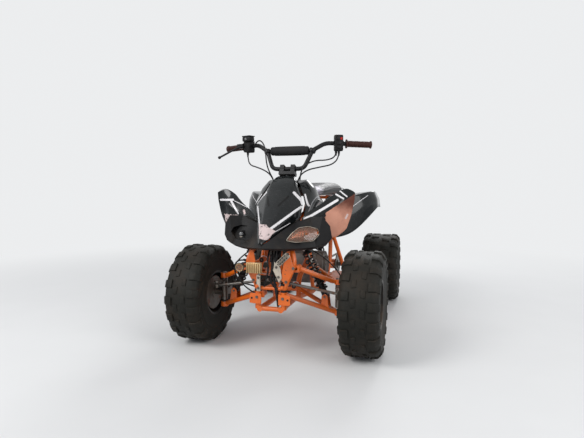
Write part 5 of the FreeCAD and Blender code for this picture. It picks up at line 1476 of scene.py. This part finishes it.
def make_pad():
    rings = []
    for x, pull in ((-103, 5), (-96, 1), (-50, 0), (0, 0), (50, 0), (96, 1), (103, 5)):
        rings.append([(x, 146 + pull, 928 + pull), (x, 194 - pull, 928 + pull), (x, 194 - pull, 981 - pull),
                      (x, 146 + pull, 981 - pull)])
    pad = padded_form("pad_form", rings)
    apply(pad, "SUBSURF", levels=2, render_levels=2)
    pad = swollen(pad, 4.5, 3.0, 4)
    apply(pad, "SMOOTH", factor=0.5, iterations=2)
    for vertex in pad.data.vertices:
        x = vertex.co.x / MM
        for seam in PAD_SEAMS:
            vertex.co -= (vertex.co - at(x, 170, 954)).normalized() * seam_depth(x - seam, 5, 1.8)
    settled(painted(pad, FINISHES["pad_vinyl"]), "steering", "pad_vinyl", "bar_pad", angle=60)
    pad.name = "padded_bar_cover"


# Small parts on the frame's front: slotted plates, the finned box, the lamp, knobs, bolts and lines.

SLOTS = 4
FINS = 8


def slotted_bar(low, high, width, thick, y, slot):
    """An upright flat bar between two (x, z) places with a row of round-ended slots, each a thin black sheet
    on its face: painted shade where the slot opens.
    """
    (ax, az), (bx, bz) = low, high
    long = math.hypot(bx - ax, bz - az)
    ux, uz = (bx - ax) / long, (bz - az) / long

    def pointed(start, end, wide, tip):
        places = ((start, -wide / 2), (end, -wide / 2), (end + tip, 0), (end, wide / 2), (start, wide / 2),
                  (start - tip, 0))
        return [(ax + ux * along - uz * across, az + uz * along + ux * across) for along, across in places]

    parts = coated(CASTING, plate("slotted_bar", pointed(0, long, width, 5), y, thick, 0.8))
    pitch = (long - 12) / SLOTS
    for index in range(SLOTS):
        start = 6 + index * pitch
        # Each slot is a thin black sheet on the bar's face: painted shade where the slot opens.
        hole_shade = pointed(start, start + pitch - 5, slot, 1.5)
        parts += coated(SHEATH, plate("slot", hole_shade, y - 0.3, 0.5, 0))
    return parts


def make_front_plates():
    parts = slotted_bar((36, 428), (83, 473), 13, 4, -144, 5)
    parts += slotted_bar((46, 419), (93, 463), 13, 4, -144, 5)
    cheek = [(24, 436), (52, 408), (60, 362), (46, 340), (30, 372), (14, 404)]
    parts += coated(CASTING, plate("cheek", cheek, -145, 4, 1.2),
                    block("post", (-62, -143, 296), (-44, -135, 372), 1.5))
    places = [(34, -145, 410), (44, -145, 366), (-53, -143, 310), (-53, -143, 358)]
    parts += bolts("plate_bolt", places, 8, 5, 6)
    assembled("bracket_plates", parts, "chassis", "aluminium", "front_plates")


def make_tower_front():
    parts = tubes(ORANGE, (FRONT_HOOP, 13, BENT, True), cross(62, -122, 309, 9), cross(92, -100, 492, 13))
    parts += arm_pivots(-1)
    lug = [(41, 238), (70, 237), (97, 240), (97, 282), (90, 285), (41, 285)]
    parts += coated(ORANGE, mirrored(plate("bumper_lug", lug, -140.8, 5.5, 1)))
    # The lug's bore is a thin black disc on its face: painted shade in the hole.
    hole_shade = turned("lug_bore_shade", [(0, 0), (0, 5), (0.5, 5), (0.5, 0)], at(86, -140.9, 263), AHEAD, 24)
    parts += coated(SHEATH, mirrored(hole_shade))
    gusset = [(53, 353), (79, 332), (122, 411), (110, 420), (92, 486), (76, 478)]
    parts += coated(ORANGE, mirrored(plate("gusset", gusset, -140, 5, 1.2)))
    knob = [(-14, 0), (-14, 6), (-3, 7), (0, 9), (4, 9), (8, 6.5), (10, 4), (10, 0)]
    parts += coated(ORANGE, *(turned("orange_knob", knob, at(x, -139, 318), AHEAD, 28) for x in (60, -60)))
    places = ((62, 268), (-62, 268), (78, 345), (112, 408), (86, 470), (-78, 345), (-112, 408))
    parts += bolts("frame_bolt", [(x, -140.4, z) for x, z in places], 9, 6, 7)
    band = [(-5, 13.3), (-5, 15), (5, 15), (5, 13.3), (-5, 13.3)]
    for z in (252, 300, 330):
        parts += coated(SHEATH, mirrored(turned("black_band", band, at(62, -122, z), (0, 0, 1), 28)))
    assembled("front_hoop", parts, "chassis", "orange_frame", "front_tower")


def make_regulator():
    parts = [block("box", (-106, -160.3, 380), (-34, -140.3, 428), 2.5)]
    for index in range(FINS):
        x = -102 + index * 9.1
        parts.append(block("fin", (x, -169, 382.5), (x + 4.2, -159, 425.5), 1.2))
    # The box and its fins get the golden tone that is painted warm light.
    parts = coated(GOLD_LIT_METAL, *parts) + bolts("box_bolt", [(-99, -160.8, 377), (-41, -160.8, 377)], 8, 4, 5.5)
    assembled("finned_box", parts, "chassis", "aluminium", "regulator_box")


def make_hanging_lamp():
    low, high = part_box("hanging_lamp")
    middle = (low + high) / 2
    place = Vector((low.x + 22 * MM, low.y, middle.z))
    radius = min(high.z - low.z, 44 * MM) / 2 / MM - 0.6
    deep = (high.y - low.y) / MM
    back = (0, 1, 0)
    cup = turned("lamp_cup", [(0.5, radius - 3), (0.5, radius), (4, radius), (9, radius - 3),
                              (deep - 6, radius - 9), (deep - 2, radius - 12), (deep - 2, 0)],
                 place, back, 36)
    bowl = turned("lamp_bowl", [(3.2, 0), (3.0, 4), (2.4, radius * 0.5), (1.0, radius - 3)], place, back, 36)
    glass = turned("lamp_glass", [(0.4, 0), (0.6, radius * 0.6), (1.6, radius - 2.6), (2.4, radius - 2.6),
                                  (1.4, radius * 0.6), (1.2, 0)], place, back, 36)
    ahead = behind_axle(low)
    arm = block("lamp_bracket", (place.x / MM + 4, ahead + 6, middle.z / MM - 8),
                (high.x / MM - 1, ahead + 10, middle.z / MM + 8), 1)
    # The bowl's golden tone is painted warm light.
    parts = [painted(cup, PLASTIC), painted(bowl, GOLD_LIT_METAL), painted(glass, GLOW_GLASS), painted(arm, CASTING)]
    assembled("clip_lamp", parts, "chassis", "aluminium", "hanging_lamp")


# Black lines and sleeves about the front of the frame, clipped to it at both ends.

FRONT_LINES = (
    (5.0, [(22, -112, 486), (24, -138, 452), (18, -146, 410), (4, -140, 366), (8, -134, 330),
           (24, -124, 312)]),
    (4.2, [(-8, -112, 486), (-12, -136, 446), (-4, -142, 398), (-16, -138, 352), (-30, -128, 316)]),
    (5.6, [(2, -100, 486), (8, -128, 440), (14, -132, 380), (22, -130, 330), (30, -126, 280),
           (34, -118, 226)]),
    (3.6, [(40, -104, 486), (44, -134, 470), (28, -142, 440), (34, -140, 396), (54, -134, 372)]),
    (3.6, [(-112, -122, 430), (-146, -136, 438), (-176, -132, 412), (-178, -118, 362), (-150, -110, 322),
           (-112, -112, 318), (-74, -122, 312)]),
    (3.2, [(-112, -118, 420), (-138, -128, 424), (-160, -126, 396), (-160, -116, 350), (-132, -110, 300),
           (-66, -122, 276)]),
)


def make_front_lines():
    lines = [strand("line", route, radius, 10) for radius, route in FRONT_LINES]
    for place, radius in (((6, -126, 446), 9), ((12, -128, 398), 10), ((30, -124, 300), 9)):
        sleeve = [(-16, 0), (-16, radius - 2), (-13, radius), (-6, radius - 1.4), (0, radius),
                  (6, radius - 1.4), (13, radius), (16, radius - 2), (16, 0)]
        lines.append(turned("sleeve", sleeve, at(*place), (0.1, -0.1, 1), 24))
    assembled("front_lines", coated(SHEATH, *lines), "chassis", "grip_rubber", angle=60)


def make_stem_clamps():
    """Two bolted caps that hold the bar in its clamp blocks."""
    section = [(-11, 11.2), (-11, 15.5), (-9.5, 17), (9.5, 17), (11, 15.5), (11, 11.2), (-11, 11.2)]
    caps = [turned("cap", section, at(x, 139, 862), (1, 0, 0), 32) for x in (-28, 28)]
    assembled("bar_caps", coated(BLACK_STEEL, *caps), "steering", "black_steel")


# Drive chain and small fasteners on the engine.

CHAIN_PITCH = 12.7
CHAIN_X = 66
FRONT_TURN = (620, 290, 28.8)
REAR_TURN = (1110, 228.6, 74.8)
ARC_STEPS = 40
LINK_RADIUS = 5.0
LINK_PLATE = 1.4
PLUG_LEAD = [(26, 396, 528), (26, 366, 534), (30, 352, 566), (44, 372, 600), (60, 410, 604)]
FUEL_LINE = [(10, 520, 566), (14, 516, 596), (30, 480, 620), (36, 440, 640), (30, 420, 668)]


def chain_places():
    """Evenly spaced places along the chain's line round both sprockets."""
    (fy, fz, fr), (ry, rz, rr) = FRONT_TURN, REAR_TURN
    slope = math.atan2(rz - fz, ry - fy)
    spread = math.acos((fr - rr) / math.hypot(ry - fy, rz - fz))
    line = []
    for (y, z, radius), start, sweep in ((FRONT_TURN, slope + spread, FULL_TURN - 2 * spread),
                                         (REAR_TURN, slope - spread, 2 * spread)):
        for index in range(ARC_STEPS + 1):
            angle = start + sweep * index / ARC_STEPS
            line.append((y + radius * math.cos(angle), z + radius * math.sin(angle)))
    line.append(line[0])
    lengths = [math.dist(a, b) for a, b in zip(line, line[1:])]
    total = sum(lengths)
    count = 2 * round(total / CHAIN_PITCH / 2)
    places, walked, leg = [], 0.0, 0
    for index in range(count):
        goal = total * index / count
        while walked + lengths[leg] < goal:
            walked += lengths[leg]
            leg += 1
        share = (goal - walked) / lengths[leg]
        (ay, az), (by, bz) = line[leg], line[leg + 1]
        places.append((ay + (by - ay) * share, az + (bz - az) * share))
    return places


def link(wide):
    """Two side plates shaped like an eight, with their roller."""
    outline = []
    for centre, start in ((CHAIN_PITCH / 2, -70), (-CHAIN_PITCH / 2, 110)):
        for step in range(5):
            angle = math.radians(start + 35 * step)
            outline.append((centre + LINK_RADIUS * math.cos(angle), LINK_RADIUS * math.sin(angle)))
    parts = []
    for x in (wide, -wide - LINK_PLATE):
        corners = [Vector((x, y, z)) * MM for y, z in outline]
        parts.append(prism("plate", corners, Vector((LINK_PLATE * MM, 0, 0))))
    roller = turned("roller", [(-wide, 0), (-wide, 3.6), (wide, 3.6), (wide, 0)],
                    Vector((0, CHAIN_PITCH / 2, 0)) * MM, (1, 0, 0), 8)
    return joined("link", [*parts, roller])


def make_chain():
    """Narrow and wide links in turn, each copied to its place on the chain's line."""
    places = chain_places()
    kinds = [link(3.0), link(4.5)]
    parts = []
    for index, ((y, z), (next_y, next_z)) in enumerate(zip(places, places[1:] + places[:1])):
        heading = math.atan2(next_z - z, next_y - y)
        middle = at(CHAIN_X, (y + next_y) / 2, (z + next_z) / 2)
        copy = kinds[index % 2].copy()
        copy.data = kinds[index % 2].data.copy()
        bpy.context.scene.collection.objects.link(copy)
        copy.data.transform(Matrix.Translation(middle) @ Matrix.Rotation(heading, 4, "X"))
        parts.append(copy)
    for kind in kinds:
        bpy.data.objects.remove(kind)
    chain = painted(joined("roller_chain", parts), FINISHES["chain_steel"])
    settled(chain, "chassis", "chain_steel", "chain")


def make_engine_trim():
    """Cover bolts, the plug with its lead, and the fuel line."""
    parts = []
    for x, y, z, radius, way, count in ((126, 440, 330, 70, 1, 7), (-126, 450, 325, 62, -1, 7),
                                        (138, 440, 330, 44, 1, 5)):
        head = bolt("cover_bolt", at(x, y, z + radius), (way, 0, 0), 7, 4, 5.4)
        parts += coated(STEEL, repeated(head, count, at(x, y, z)))
    lead = strand("lead", PLUG_LEAD, 3.6)
    cap = turned("plug_cap", [(-8, 0), (-8, 9), (6, 9), (8, 7), (26, 6.5), (30, 4), (30, 0)],
                 at(26, 400, 527), (0, -1, 0.2), 20)
    fuel = strand("fuel_line", FUEL_LINE, 3.4)
    assembled("engine_trim", parts + coated(SHEATH, lead, cap, fuel), "chassis", "engine_metal", angle=50)


make_camera()
make_sky()
make_lamp("key_lamp", (-2.6, -3.6, 3.4), (0, 0, 0.45), 2.4, 150)
make_lamp("fill_lamp", (3.4, -2.2, 2.4), (0, 0, 0.45), 2.6, 70)
make_lamp("rim_lamp", (0.6, 3.6, 3.2), (0, 0, 0.5), 2.2, 90)
bpy.context.scene.view_settings.view_transform = "Standard"
make_floor()
dress_cad_nodes()
make_bodywork()
make_wheels()
make_frame()
make_tower_front()
make_arms()
make_shocks()
make_bar()
make_grips()
make_controls()
make_cables()
make_seat()
make_pad()
make_front_plates()
make_regulator()
make_hanging_lamp()
make_front_lines()
make_stem_clamps()
make_chain()
make_engine_trim()
